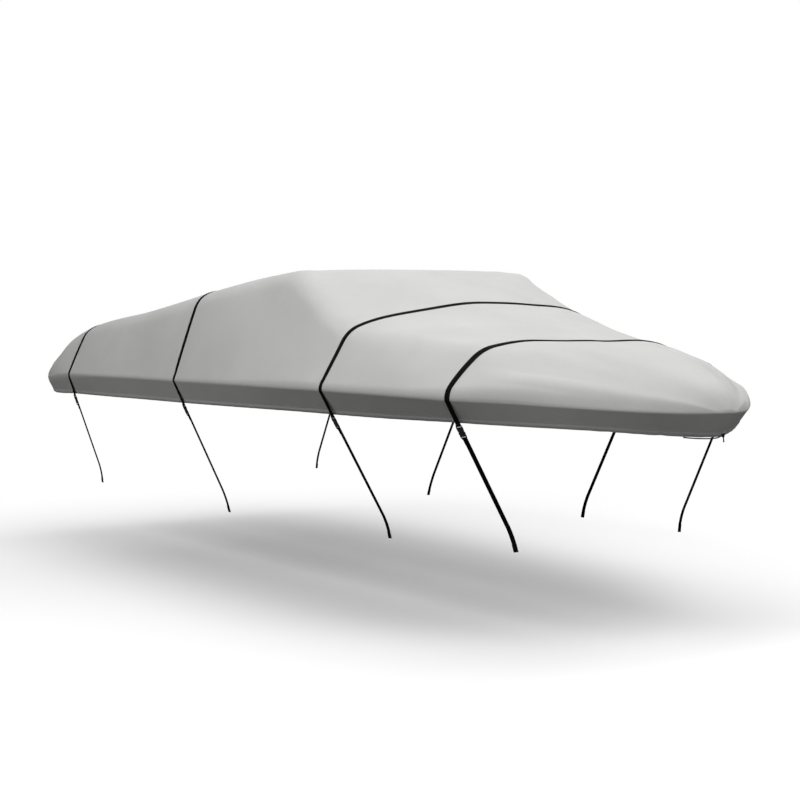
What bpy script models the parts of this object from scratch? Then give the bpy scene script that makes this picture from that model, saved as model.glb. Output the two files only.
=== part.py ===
"""Fitted boat cover with its over-the-top straps, buckles and lower tie-down straps.

Metres, +Z up.  +X runs towards the bow and -Y is the starboard side.  The origin is the point under
the cover's top where the windshield of the boat holds it up.

The cloth is one surface: cross-sections at the stations of a table, each from the crown over a rounded
shoulder and down the side to the crease at the rub rail, and below that crease a skirt all the way round
to the hem.
"""
import math

import bmesh
import bpy
import numpy as np
from mathutils import Matrix

# ---------------------------------------------------------------- driving dimensions

CLOTH = 0.002             # thickness of the cover cloth
GAP = 0.0004              # clearance between pieces that touch
ROW_SPACING = 0.165       # largest distance between two cross-sections

TOP_SPANS = 6             # facets from the crown to the shoulder, one side
CORNER_SPANS = 3          # facets round the shoulder
SIDE_SPANS = 2            # facets from the shoulder to the rub rail
RUB_RAIL = 0.034          # upright band of cloth over the rub rail, just above the crease
SKIRT_RINGS = (0.13, 0.5, 1.0)   # rings of the skirt, as shares of its depth

WEB_WIDTH = 0.025         # strap webbing
WEB_THICKNESS = 0.0015
SEWN_END = 0.036          # length of a webbing end that is turned back and sewn
SETTLE = 0.012            # over which that end comes down from the bar to lie on the webbing
RUN_START = 0.012         # from the crease to the first section of the straight run

BUCKLE_LENGTH = 0.066
BUCKLE_WIDTH = 0.034
BUCKLE_THICKNESS = 0.009
BUCKLE_BAR = 0.003        # length and thickness of the bars that the webbing turns round
BUCKLE_SLOT = 0.0052      # gap between such a bar and the body
BUCKLE_RAIL = 0.0038      # width of the frame beside the slots
BUCKLE_BELOW_HEM = 0.010  # from the hem to the buckle's upper end, along the strap
BAR_RADIUS = BUCKLE_BAR / math.sqrt(2) + GAP + WEB_THICKNESS / 2   # webbing's centre line round a bar
FOLD_RADIUS = (WEB_THICKNESS + GAP) / 2                            # and in a flat fold

CORD_RADIUS = 0.0028
CORD_POINT_SPACING = 0.014
KNOT_CENTRE = (2.1660, 0.0133, -0.8145)
KNOT_SIDES = 10

# Cross-sections from the stern to the bow, for the outer face of the cloth.
#   rail      half width and height of the crease at the rub rail
#   shoulder  half width and height of the edge between the side and the top
#   crown     height on the centre line
#   corner    length of cloth that each side of the shoulder's rounding takes
#   arch      power of the top's curve: 2 is a parabola, more is flatter with a rounder edge
#   bulge     how far the side stands out from its straight chord
#   lean      how much higher the port shoulder sits than the starboard one
#   drop      depth of the skirt, tuck its inward slope to the side, rake its slope along X
STATION_COLUMNS = ("x", "rail_y", "rail_z", "shoulder_y", "shoulder_z", "crown_z",
                   "corner", "arch", "bulge", "lean", "drop", "tuck", "rake")
STATIONS = (
    (-2.935, 0.920, -0.662, 0.895, -0.630, -0.600, 0.02, 2.2, 0.000, 0.00, 0.080, 0.030, 0.045),
    (-2.912, 1.025, -0.659, 0.980, -0.585, -0.530, 0.04, 2.2, 0.002, 0.00, 0.085, 0.035, 0.040),
    (-2.870, 1.084, -0.654, 1.035, -0.530, -0.445, 0.07, 2.2, 0.004, 0.00, 0.092, 0.042, 0.025),
    (-2.770, 1.100, -0.644, 1.028, -0.460, -0.350, 0.10, 2.2, 0.006, 0.00, 0.107, 0.048, 0.010),
    (-2.660, 1.101, -0.635, 1.000, -0.378, -0.280, 0.10, 2.2, 0.004, 0.00, 0.117, 0.052, 0.000),
    (-2.450, 1.100, -0.627, 0.960, -0.296, -0.220, 0.09, 2.2, 0.002, 0.00, 0.122, 0.056, 0.000),
    (-1.700, 1.102, -0.624, 0.946, -0.222, -0.140, 0.10, 2.2, 0.002, 0.01, 0.129, 0.062, 0.000),
    (-0.890, 1.100, -0.629, 0.930, -0.124, -0.050, 0.10, 2.2, 0.002, 0.02, 0.128, 0.070, 0.000),
    (-0.350, 1.096, -0.632, 0.880, -0.048, -0.008, 0.10, 2.6, 0.002, 0.03, 0.126, 0.076, 0.000),
    (-0.080, 1.093, -0.634, 0.840, -0.016, 0.002, 0.09, 3.4, 0.001, 0.04, 0.124, 0.079, 0.000),
    (0.000, 1.092, -0.635, 0.840, -0.022, 0.002, 0.09, 3.4, 0.000, 0.04, 0.123, 0.080, 0.000),
    (0.070, 1.091, -0.636, 0.845, -0.056, -0.020, 0.09, 3.4, -0.002, 0.02, 0.122, 0.081, 0.000),
    (0.300, 1.088, -0.638, 0.875, -0.192, -0.092, 0.09, 2.6, -0.004, -0.01, 0.120, 0.084, 0.000),
    (0.630, 1.080, -0.641, 0.915, -0.348, -0.200, 0.06, 2.5, -0.002, 0.01, 0.119, 0.087, 0.000),
    (0.970, 1.050, -0.648, 0.880, -0.392, -0.315, 0.08, 2.5, 0.000, -0.02, 0.115, 0.087, 0.000),
    (1.220, 1.010, -0.655, 0.830, -0.426, -0.382, 0.08, 2.7, 0.002, -0.045, 0.109, 0.087, 0.000),
    (1.440, 0.945, -0.664, 0.757, -0.472, -0.404, 0.06, 2.8, 0.002, -0.072, 0.103, 0.087, 0.000),
    (1.640, 0.805, -0.672, 0.600, -0.514, -0.430, 0.07, 2.6, 0.004, -0.065, 0.105, 0.080, 0.000),
    (1.820, 0.630, -0.682, 0.440, -0.558, -0.472, 0.08, 2.4, 0.006, -0.050, 0.106, 0.070, -0.012),
    (1.980, 0.440, -0.693, 0.295, -0.595, -0.525, 0.08, 2.2, 0.008, -0.025, 0.108, 0.060, -0.032),
    (2.090, 0.290, -0.701, 0.190, -0.624, -0.570, 0.06, 2.2, 0.008, 0.00, 0.111, 0.048, -0.054),
    (2.160, 0.185, -0.704, 0.122, -0.645, -0.604, 0.05, 2.2, 0.006, 0.00, 0.116, 0.038, -0.068),
    (2.200, 0.105, -0.702, 0.072, -0.666, -0.640, 0.03, 2.2, 0.003, 0.00, 0.122, 0.028, -0.076),
    (2.217, 0.045, -0.698, 0.034, -0.689, -0.680, 0.008, 2.2, 0.000, 0.00, 0.126, 0.014, -0.080),
)

# Soft folds of the cloth, starboard ones first: each runs between two places, stands proud of the cloth
# by its height or sinks into it, and fades over its half width and towards its ends.  A place is x and
# the share of the way from the crown (0) to the crease (1).
FOLD_COLUMNS = ("side", "x_from", "down_from", "x_to", "down_to", "height", "half_width")
FOLDS = (
    (-1, -0.20, 0.30, 0.62, 0.66, 0.008, 0.10),     # from the windshield's corner down to strap 3
    (-1, 0.05, 0.78, 0.58, 0.80, -0.007, 0.12),     # hollow under it
    (-1, 0.70, 0.72, 1.42, 0.74, -0.010, 0.09),     # along the foredeck's side, strap 3 to strap 4
    (-1, 0.68, 0.48, 1.30, 0.46, 0.006, 0.14),
    (-1, 1.48, 0.62, 2.02, 0.60, -0.007, 0.08),     # forward of strap 4
    (-1, 1.55, 0.84, 2.10, 0.80, 0.005, 0.07),
    (-1, -0.85, 0.60, -0.10, 0.55, -0.005, 0.16),
    (-1, -2.40, 0.75, -0.95, 0.60, -0.006, 0.18),
    (1, -0.15, 0.32, 0.60, 0.62, 0.006, 0.10),
    (1, 0.72, 0.74, 1.40, 0.70, -0.008, 0.10),
    (1, 1.50, 0.64, 2.05, 0.66, -0.006, 0.08),
    (1, -0.80, 0.62, -0.15, 0.66, -0.006, 0.15),
    (1, -2.35, 0.66, -1.00, 0.72, -0.007, 0.17),
    (1, -2.20, 0.30, -1.10, 0.18, -0.010, 0.22),
)

# Straps, from the stern: where each one crosses the cover, the point (half width, height) where its
# lower run bends over the rail of a trailer, the angle of that bend and the length below it.
STRAP_COLUMNS = ("name", "x", "bend_y", "bend_z", "bend_angle", "fall")
STRAPS = (
    ("1", -2.450, 0.878, -1.260, 13.0, 0.100),
    ("2", -0.890, 0.774, -1.300, 10.0, 0.115),
    ("3", 0.630, 0.691, -1.298, 17.0, 0.095),
    ("4", 1.440, 0.572, -1.278, 18.0, 0.092),
)
SIDES = (("starboard", -1.0), ("port", 1.0))

# The draw cord's end: out of the hem's casing near the bow and forward under the hem to its knot.
CORD_ROUTE = (
    (2.0880, -0.1530, -0.8226),
    (2.1080, -0.1180, -0.8262),
    (2.1260, -0.0820, -0.8284),
    (2.1420, -0.0450, -0.8288),
    (2.1550, -0.0120, -0.8262),
    (2.1625, 0.0058, -0.8184),
)
# The knot and the short tail that hangs from it: offsets from the knot's centre, and the radius there.
KNOT_COLUMNS = ("dx", "dy", "dz", "radius")
KNOT = (
    (0.000, 0.001, 0.0095, 0.0020),
    (0.000, 0.001, 0.0080, 0.0062),
    (0.000, 0.000, 0.0030, 0.0088),
    (0.000, 0.000, -0.0020, 0.0084),
    (0.000, 0.000, -0.0065, 0.0058),
    (0.000, 0.001, -0.0095, 0.0029),
    (0.001, 0.003, -0.0170, 0.0028),
    (0.000, 0.006, -0.0250, 0.0028),
    (-0.002, 0.008, -0.0320, 0.0031),
)

COLOURS = {
    "cloth": ((0.42, 0.42, 0.41, 1.0), 0.85),
    "webbing": ((0.012, 0.012, 0.013, 1.0), 0.80),
    "plastic": ((0.016, 0.016, 0.017, 1.0), 0.45),
}


# ---------------------------------------------------------------- helpers

def clear_scene():
    for item in list(bpy.data.objects):
        bpy.data.objects.remove(item, do_unlink=True)


def finish_material(name):
    colour, roughness = COLOURS[name]
    material = bpy.data.materials.get(name) or bpy.data.materials.new(name)
    material.use_nodes = True
    shader = material.node_tree.nodes["Principled BSDF"]
    shader.inputs["Base Color"].default_value = colour
    shader.inputs["Roughness"].default_value = roughness
    return material


def add_object(name, mesh, material):
    item = bpy.data.objects.new(name, mesh)
    bpy.context.collection.objects.link(item)
    if not mesh.materials:
        mesh.materials.append(finish_material(material))
    return item


def rows_of(table, columns):
    """A table of tuples as a dictionary of columns."""
    return {name: [row[i] for row in table] for i, name in enumerate(columns)}


def eased(at, xs, ys):
    """A curve through the points (xs, ys) that doesn't overshoot between them, read at `at`."""
    xs, ys = np.asarray(xs, float), np.asarray(ys, float)
    span = np.diff(xs)
    slope = np.diff(ys) / span
    tangent = np.concatenate(([slope[0]], np.zeros(len(xs) - 2), [slope[-1]]))
    same_way = slope[:-1] * slope[1:] > 0
    before = 2 * span[1:] + span[:-1]
    after = span[1:] + 2 * span[:-1]
    with np.errstate(divide="ignore", invalid="ignore"):
        mean = (before + after) / (before / slope[:-1] + after / slope[1:])
    tangent[1:-1] = np.where(same_way, mean, 0.0)
    k = np.clip(np.searchsorted(xs, at) - 1, 0, len(xs) - 2)
    t = (np.asarray(at, float) - xs[k]) / span[k]
    return ((2 * t**3 - 3 * t**2 + 1) * ys[k] + (t**3 - 2 * t**2 + t) * span[k] * tangent[k]
            + (3 * t**2 - 2 * t**3) * ys[k + 1] + (t**3 - t**2) * span[k] * tangent[k + 1])


# ---------------------------------------------------------------- the cover cloth

STATION = rows_of(STATIONS, STATION_COLUMNS)


def at_station(x):
    """Every column of the station table, read at x."""
    return {name: float(eased(x, STATION["x"], STATION[name])) for name in STATION_COLUMNS}


def row_positions():
    """Cross-sections at every station, at both edges of every strap, and evenly in between."""
    marks = set(STATION["x"])
    for strap in STRAPS:
        x = strap[1]
        marks.discard(x)
        marks.update((x - WEB_WIDTH / 2, x + WEB_WIDTH / 2))
    marks = sorted(marks)
    rows = [marks[0]]
    for start, stop in zip(marks, marks[1:]):
        pieces = math.ceil((stop - start) / ROW_SPACING)
        rows.extend(start + (stop - start) * (i + 1) / pieces for i in range(pieces))
    return rows


def half_section(x):
    """Points (y, z) from the crown, over the shoulder, to the crease at the rub rail."""
    s = at_station(x)
    shoulder = np.array((s["shoulder_y"], s["shoulder_z"]))
    crease = np.array((s["rail_y"], s["rail_z"]))
    rub_rail = min(RUB_RAIL, 0.35 * (shoulder[1] - crease[1]))
    side = crease + (0.0, rub_rail) - shoulder
    side_length = float(np.hypot(*side))
    along = side / side_length
    outward = np.array((-along[1], along[0]))
    corner = min(s["corner"], 0.4 * side_length)

    edge = s["shoulder_y"] - corner
    y = edge * np.linspace(0.0, 1.0, TOP_SPANS + 1)
    z = shoulder[1] + (s["crown_z"] - shoulder[1]) * (1.0 - (y / s["shoulder_y"]) ** s["arch"])
    top = np.column_stack((y, z))

    t = np.linspace(0.0, 1.0, CORNER_SPANS + 1)[1:, None]
    start, stop = top[-1], shoulder + along * corner
    turn = start * (1 - t) ** 2 + shoulder * 2 * t * (1 - t) + stop * t**2

    share = np.linspace(0.0, 1.0, SIDE_SPANS + 1)[1:, None]
    run = corner + (side_length - corner) * share
    flank = shoulder + along * run + outward * 4 * s["bulge"] * share * (1 - share)
    return np.vstack((top, turn, flank, crease))


def folded(row):
    """A row of points with the soft folds raised or sunk across the cloth; both creases stay in place."""
    step = np.gradient(row[:, 1:], axis=0)
    outward = np.column_stack((-step[:, 1], step[:, 0])) / np.hypot(step[:, 0], step[:, 1])[:, None]
    middle = len(row) // 2
    length = np.concatenate(([0.0], np.cumsum(np.hypot(*np.diff(row[:, 1:], axis=0).T))))
    girth = length - length[middle]
    lift = np.zeros(len(row))
    for record in FOLDS:
        fold = dict(zip(FOLD_COLUMNS, record))
        along = (row[0, 0] - fold["x_from"]) / (fold["x_to"] - fold["x_from"])
        if not 0.0 < along < 1.0:
            continue
        extent = girth[-1] if fold["side"] > 0 else girth[0]
        centre = extent * (fold["down_from"] + (fold["down_to"] - fold["down_from"]) * along)
        away = np.abs(girth - centre) / fold["half_width"]
        profile = np.where(away < 1.0, 0.5 + 0.5 * np.cos(math.pi * np.minimum(away, 1.0)), 0.0)
        lift += fold["height"] * profile * math.sin(math.pi * along) ** 0.7
    lift[[0, 1, -2, -1]] = 0.0
    row = row.copy()
    row[:, 1:] += outward * lift[:, None]
    return row


def cover_rows():
    """The grid of the cloth above the crease: one row for each cross-section, starboard to port."""
    rows = []
    for x in row_positions():
        half = half_section(x)
        port = np.column_stack((np.full(len(half), x), half))
        starboard = port[:0:-1] * (1.0, -1.0, 1.0)
        row = np.vstack((starboard, port))
        s = at_station(x)
        height = (row[:, 2] - s["rail_z"]) / (s["crown_z"] - s["rail_z"])
        row[:, 2] += 0.5 * s["lean"] * height * row[:, 1] / s["shoulder_y"]
        rows.append(folded(row))
    return np.array(rows)


def rim_of(grid):
    """Row and column of each point of the crease, once round: stern, port side, bow, starboard side."""
    last_row, last_col = grid.shape[0] - 1, grid.shape[1] - 1
    rim = [(0, j) for j in range(last_col)]
    rim += [(i, last_col) for i in range(last_row)]
    rim += [(last_row, j) for j in range(last_col, 0, -1)]
    rim += [(i, 0) for i in range(last_row, 0, -1)]
    return rim


def skirt_point(crease, share):
    """A point of the skirt under a point of the crease, `share` of the way down to the level hem."""
    s = at_station(crease[0])
    squeeze = 1.0 - share * s["tuck"] / s["rail_y"]
    hem_z = s["rail_z"] - s["drop"]
    return (crease[0] + share * s["rake"], crease[1] * squeeze, crease[2] + share * (hem_z - crease[2]))


def build_cover(grid):
    rim = rim_of(grid)
    mesh_grid = bmesh.new()
    verts = [[mesh_grid.verts.new(point) for point in row] for row in grid]
    for lower, upper in zip(verts, verts[1:]):
        for j in range(len(lower) - 1):
            mesh_grid.faces.new((lower[j], upper[j], upper[j + 1], lower[j + 1]))
    ring = [verts[i][j] for i, j in rim]
    for share in SKIRT_RINGS:
        below = [mesh_grid.verts.new(skirt_point(grid[i][j], share)) for i, j in rim]
        for k in range(len(ring)):
            after = (k + 1) % len(ring)
            mesh_grid.faces.new((ring[k], ring[after], below[after], below[k]))
        ring = below
    bmesh.ops.recalc_face_normals(mesh_grid, faces=mesh_grid.faces)
    mesh = bpy.data.meshes.new("cover")
    mesh_grid.to_mesh(mesh)
    mesh_grid.free()
    mesh.shade_smooth()
    cover = add_object("cover", mesh, "cloth")
    wall = cover.modifiers.new("cloth thickness", "SOLIDIFY")
    wall.thickness = CLOTH
    wall.offset = -1.0
    wall.use_even_offset = True
    wall.use_rim = True
    return cover


# ---------------------------------------------------------------- webbing

def offset_line(line, distance):
    """A line of points in a plane moved to the left of its way, with mitred corners."""
    line = np.asarray(line, float)
    way = np.diff(line, axis=0)
    way /= np.linalg.norm(way, axis=1)[:, None]
    left = np.column_stack((-way[:, 1], way[:, 0]))
    mitre = np.vstack((left[:1], left[:-1] + left[1:], left[-1:]))
    mitre /= np.linalg.norm(mitre, axis=1)[:, None]
    cosine = np.concatenate(([1.0], np.sum(mitre[1:-1] * left[1:], axis=1), [1.0]))
    return line + mitre * (distance / cosine)[:, None]


def turned_end(radius, settle):
    """Centre line of a webbing end that comes along +a, turns round a bar at the origin's height `radius`
    and goes back over itself, as points (a, b)."""
    angles = np.radians(np.linspace(-90, 90, 7))
    turn = np.column_stack((radius * np.cos(angles), radius + radius * np.sin(angles)))
    lying = ((-settle, 2 * FOLD_RADIUS),) if settle else ()
    return np.vstack((turn, *lying, (-SEWN_END, 2 * FOLD_RADIUS)))


def placed(points, a, b=0.0, angle=0.0):
    """Points (a, b) turned by `angle` degrees to the left and moved."""
    c, s = math.cos(math.radians(angle)), math.sin(math.radians(angle))
    return np.asarray(points) @ np.array(((c, s), (-s, c))) + (a, b)


class Run:
    """The straight way of a strap from the crease down to the trailer, on one side of the boat.

    It is worked out for the port side; `side` is -1 to mirror its points to starboard.  u points down
    along the webbing, v across it towards the bow and n out from the boat.
    """

    def __init__(self, strap, aft_crease, fore_crease, side):
        self.side = side
        middle = (aft_crease + fore_crease) / 2
        bend = np.array((middle[0], strap["bend_y"], strap["bend_z"]))
        self.length = float(np.linalg.norm(bend - middle))
        self.u = (bend - middle) / self.length
        across = fore_crease - aft_crease
        across -= self.u * float(across @ self.u)
        self.v = across / np.linalg.norm(across)
        self.n = np.cross(self.v, self.u)
        self.start = middle + self.n * (GAP + WEB_THICKNESS / 2)
        hem = at_station(strap["x"])["drop"] / -self.u[2]
        self.buckle_top = hem + BUCKLE_BELOW_HEM

    def mirrored(self, points):
        return np.asarray(points) * (1.0, self.side, 1.0)

    def sections(self, path):
        """Cross-sections of the webbing along a path of (a, b) points: a along u, b along n."""
        faces = []
        for half in (-0.5, 0.5):
            line = offset_line(path, half * WEB_THICKNESS)
            middle = self.start + line[:, :1] * self.u + line[:, 1:] * self.n
            faces.append((middle - self.v * WEB_WIDTH / 2, middle + self.v * WEB_WIDTH / 2))
        (aft_in, fore_in), (aft_out, fore_out) = faces
        return self.mirrored(np.stack((aft_in, fore_in, fore_out, aft_out), axis=1))

    def bar(self, lower):
        """Distance along u of the buckle's upper or lower bar."""
        inset = BUCKLE_BAR / 2
        return self.buckle_top + (BUCKLE_LENGTH - inset if lower else inset)


def surface_sections(grid, strap_rows, side, run):
    """Cross-sections of the webbing on the cloth, from the crown to the crease of one side."""
    middle = grid.shape[1] // 2
    faces = []
    for row in strap_rows:
        points = grid[row, middle:] if side > 0 else grid[row, middle::-1]
        line = points[:, 1:] * (side, 1.0)
        below = line[-1] + run.u[1:] * RUN_START
        line = np.vstack((line[1] * (-1.0, 1.0), line, below))
        for distance in (GAP, GAP + WEB_THICKNESS):
            face = offset_line(line, distance)[1:-1]
            faces.append(run.mirrored(np.column_stack((points[:, 0], face))))
    aft_in, aft_out, fore_in, fore_out = faces
    return np.stack((aft_in, fore_in, fore_out, aft_out), axis=1)


def build_webbing(name, sections):
    """A closed strip through cross-sections of four points each."""
    strip = bmesh.new()
    rings = [[strip.verts.new(point) for point in section] for section in sections]
    for near, far in zip(rings, rings[1:]):
        for k in range(4):
            strip.faces.new((near[k], near[(k + 1) % 4], far[(k + 1) % 4], far[k]))
    strip.faces.new(rings[0])
    strip.faces.new(rings[-1])
    bmesh.ops.recalc_face_normals(strip, faces=strip.faces)
    mesh = bpy.data.meshes.new(name)
    strip.to_mesh(mesh)
    strip.free()
    return add_object(name, mesh, "webbing")


def over_half(grid, strap_rows, side, run):
    """The strap over the cover from the crown to its sewn end round the buckle's upper bar."""
    on_cloth = surface_sections(grid, strap_rows, side, run)
    end = placed(turned_end(BAR_RADIUS, SETTLE), run.bar(lower=False))
    path = np.vstack(((RUN_START, 0.0), (run.buckle_top - SEWN_END, 0.0), end))
    return np.concatenate((on_cloth, run.sections(path)))


def build_lower_strap(name, strap, run):
    """The tie-down strap from the buckle's lower bar to its hemmed end below the trailer's rail."""
    start = placed(turned_end(BAR_RADIUS, SETTLE) * (-1.0, 1.0), run.bar(lower=True))[::-1]
    angle = strap["bend_angle"]
    half = placed(((0.3 * strap["fall"], 0.0),), run.length, 0.0, angle / 2)
    end_a, end_b = placed(((0.7 * strap["fall"], 0.0),), *half[0], angle)[0]
    end = placed(turned_end(FOLD_RADIUS, 0.0), end_a, end_b, angle)
    path = np.vstack((start, (run.bar(lower=True) + SEWN_END, 0.0), (run.length, 0.0), half, end))
    return build_webbing(name, run.sections(path))


# ---------------------------------------------------------------- buckles

def buckle_mesh():
    """A buckle's frame and body: a plate of cells with a slot at each end for the webbing.

    X is across the webbing, Y along it and Z out from the boat.
    """
    half_length, half_width = BUCKLE_LENGTH / 2, BUCKLE_WIDTH / 2
    bar, body = BUCKLE_BAR / 2, BUCKLE_THICKNESS / 2
    slot_out = half_length - BUCKLE_BAR
    slot_in = slot_out - BUCKLE_SLOT
    cuts_x = (-half_width, -half_width + BUCKLE_RAIL, half_width - BUCKLE_RAIL, half_width)
    # along Y: place, half thickness there, share of the full width
    lines = ((-half_length, bar, 0.96), (-slot_out, bar, 1.0), (-slot_in, body * 0.8, 1.0),
             (-slot_in * 0.75, body, 1.0), (0.0, body, 0.88), (slot_in * 0.75, body, 1.0),
             (slot_in, body * 0.8, 1.0), (slot_out, bar, 1.0), (half_length, bar, 0.96))
    slots = ((1, 1), (1, len(lines) - 3))
    plate = bmesh.new()
    verts = [[[plate.verts.new((x * width, y, side * thick)) for side in (-1, 1)]
              for x in cuts_x] for y, thick, width in lines]

    def is_solid(i, j):
        return 0 <= i < len(cuts_x) - 1 and 0 <= j < len(lines) - 1 and (i, j) not in slots

    for j in range(len(lines) - 1):
        for i in range(len(cuts_x) - 1):
            if not is_solid(i, j):
                continue
            corners = (verts[j][i], verts[j][i + 1], verts[j + 1][i + 1], verts[j + 1][i])
            plate.faces.new([corner[1] for corner in corners])
            plate.faces.new([corner[0] for corner in reversed(corners)])
            beside = ((i, j - 1), (i + 1, j), (i, j + 1), (i - 1, j))
            for k, cell in enumerate(beside):
                if not is_solid(*cell):
                    near, far = corners[k], corners[(k + 1) % 4]
                    plate.faces.new((near[0], far[0], far[1], near[1]))
    bmesh.ops.recalc_face_normals(plate, faces=plate.faces)
    mesh = bpy.data.meshes.new("buckle")
    plate.to_mesh(mesh)
    plate.free()
    return mesh


def place_buckle(name, mesh, run):
    """A buckle between the two bars of its run."""
    middle = run.start + run.u * (run.buckle_top + BUCKLE_LENGTH / 2) + run.n * BAR_RADIUS
    u, n = run.mirrored(run.u), run.mirrored(run.n)
    axes = np.column_stack((np.cross(u, n), u, n))
    buckle = add_object(name, mesh, "plastic")
    buckle.matrix_world = Matrix.Translation(run.mirrored(middle)) @ Matrix(axes.tolist()).to_4x4()
    return buckle


# ---------------------------------------------------------------- draw cord

def smooth_route(points, spacing):
    """Points about `spacing` apart on a smooth curve (Catmull-Rom) through the given ones."""
    p = np.asarray(points, float)
    p = np.vstack((2 * p[0] - p[1], p, 2 * p[-1] - p[-2]))
    route = [p[1]]
    for a, b, c, d in zip(p, p[1:], p[2:], p[3:]):
        steps = max(1, round(float(np.linalg.norm(c - b)) / spacing))
        for i in range(1, steps + 1):
            t = i / steps
            route.append(0.5 * (2 * b + (c - a) * t + (2 * a - 5 * b + 4 * c - d) * t**2
                                + (3 * b - a - 3 * c + d) * t**3))
    return route


def build_cord(name, points):
    curve = bpy.data.curves.new(name, "CURVE")
    curve.dimensions = "3D"
    curve.bevel_depth = CORD_RADIUS
    curve.bevel_resolution = 2
    curve.use_fill_caps = True
    spline = curve.splines.new("POLY")
    route = smooth_route(points, CORD_POINT_SPACING)
    spline.points.add(len(route) - 1)
    for slot, point in zip(spline.points, route):
        slot.co = (*point, 1.0)
    cord = bpy.data.objects.new(name, curve)
    curve.materials.append(finish_material("webbing"))
    bpy.context.collection.objects.link(cord)
    return cord


def build_knot(name):
    """A knot and its tail: rings of varying radius round a short line, closed at both ends."""
    body = bmesh.new()
    rings = []
    for record in KNOT:
        step = dict(zip(KNOT_COLUMNS, record))
        centre = np.array(KNOT_CENTRE) + (step["dx"], step["dy"], step["dz"])
        angles = [2 * math.pi * k / KNOT_SIDES for k in range(KNOT_SIDES)]
        rings.append([body.verts.new(centre + step["radius"] * np.array((math.cos(a), math.sin(a), 0.0)))
                      for a in angles])
    for near, far in zip(rings, rings[1:]):
        for k in range(KNOT_SIDES):
            after = (k + 1) % KNOT_SIDES
            body.faces.new((near[k], near[after], far[after], far[k]))
    body.faces.new(rings[0])
    body.faces.new(rings[-1])
    bmesh.ops.recalc_face_normals(body, faces=body.faces)
    mesh = bpy.data.meshes.new(name)
    body.to_mesh(mesh)
    body.free()
    mesh.shade_smooth()
    return add_object(name, mesh, "webbing")


def main():
    clear_scene()
    rows = row_positions()
    grid = cover_rows()
    build_cover(grid)
    shared_buckle = buckle_mesh()
    for record in STRAPS:
        strap = dict(zip(STRAP_COLUMNS, record))
        strap_rows = [rows.index(strap["x"] + end * WEB_WIDTH / 2) for end in (-1, 1)]
        halves = []
        for side_name, side in SIDES:
            crease = -1 if side > 0 else 0
            aft, fore = (grid[row, crease] * (1.0, side, 1.0) for row in strap_rows)
            run = Run(strap, aft, fore, side)
            halves.append(over_half(grid, strap_rows, side, run))
            place_buckle(f"buckle_{strap['name']}_{side_name}", shared_buckle, run)
            build_lower_strap(f"strap_lower_{strap['name']}_{side_name}", strap, run)
        starboard, port = halves
        build_webbing(f"strap_over_{strap['name']}", np.concatenate((starboard[:0:-1], port)))
    build_cord("draw_cord", CORD_ROUTE)
    build_knot("draw_cord_knot")


main()
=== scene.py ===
"""Looks of the fitted boat cover: coated polyester cloth, webbing straps, buckles and a cord's end.

Metres, +Z up, +X towards the bow, -Y starboard.  Every new piece is a surface worked out with numpy:
a grid of two parameters, or a section carried along a path.
"""
import functools
import math

import bmesh
import bpy
import numpy as np
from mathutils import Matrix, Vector


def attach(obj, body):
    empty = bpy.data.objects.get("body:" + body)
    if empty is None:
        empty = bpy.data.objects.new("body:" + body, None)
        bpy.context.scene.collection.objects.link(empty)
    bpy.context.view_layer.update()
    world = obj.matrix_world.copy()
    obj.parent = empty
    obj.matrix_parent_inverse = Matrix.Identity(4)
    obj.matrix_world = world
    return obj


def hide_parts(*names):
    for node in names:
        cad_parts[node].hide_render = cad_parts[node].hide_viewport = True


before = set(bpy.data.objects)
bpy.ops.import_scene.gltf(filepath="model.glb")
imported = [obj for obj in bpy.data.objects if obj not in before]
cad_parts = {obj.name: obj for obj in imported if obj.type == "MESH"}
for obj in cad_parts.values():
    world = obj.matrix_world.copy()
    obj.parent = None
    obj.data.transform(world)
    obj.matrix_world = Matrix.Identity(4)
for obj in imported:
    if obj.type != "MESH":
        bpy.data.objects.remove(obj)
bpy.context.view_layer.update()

# ---------------------------------------------------------------- camera

CAMERA_PLACE = (5.89, -4.46, -0.423)
CAMERA_FORWARD = (-0.8065, 0.5912)     # level direction of view
CAMERA_PITCH = 2.42                    # degrees below the horizon
LENS = 58.5                            # millimetres, on a 36 mm sensor


def make_camera():
    """The camera, level to the side and turned down by its pitch."""
    data = bpy.data.cameras.new("camera")
    data.lens = LENS
    data.sensor_width = 36.0
    data.clip_end = 200.0
    camera = bpy.data.objects.new("camera", data)
    bpy.context.scene.collection.objects.link(camera)
    camera.location = CAMERA_PLACE
    drop = math.tan(math.radians(CAMERA_PITCH))
    way = Vector((*CAMERA_FORWARD, -drop * math.hypot(*CAMERA_FORWARD)))
    camera.rotation_euler = way.to_track_quat("-Z", "Y").to_euler()
    bpy.context.scene.camera = camera


# ---------------------------------------------------------------- sizes of the pieces

CLOTH = 0.002              # thickness of the cover cloth
GAP = 0.0004               # clearance between webbing and cloth

WEB_WIDTH = 0.025
WEB_THICKNESS = 0.0015
SEWN_THICKNESS = 0.0040    # two layers of webbing and the cloth's seam, along the top
SEWN_END = 0.036           # length of a webbing end that is turned back and sewn
BUCKLE_LENGTH = 0.066
BUCKLE_WIDTH = 0.034
BUCKLE_THICKNESS = 0.009
BUCKLE_BAR = 0.003
BUCKLE_BELOW_HEM = 0.010
BAR_RADIUS = BUCKLE_BAR / math.sqrt(2) + GAP + WEB_THICKNESS / 2
FOLD_RADIUS = (WEB_THICKNESS + GAP) / 2
UV_NAME = "weave_uv"       # the map that weave and braid follow

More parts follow.
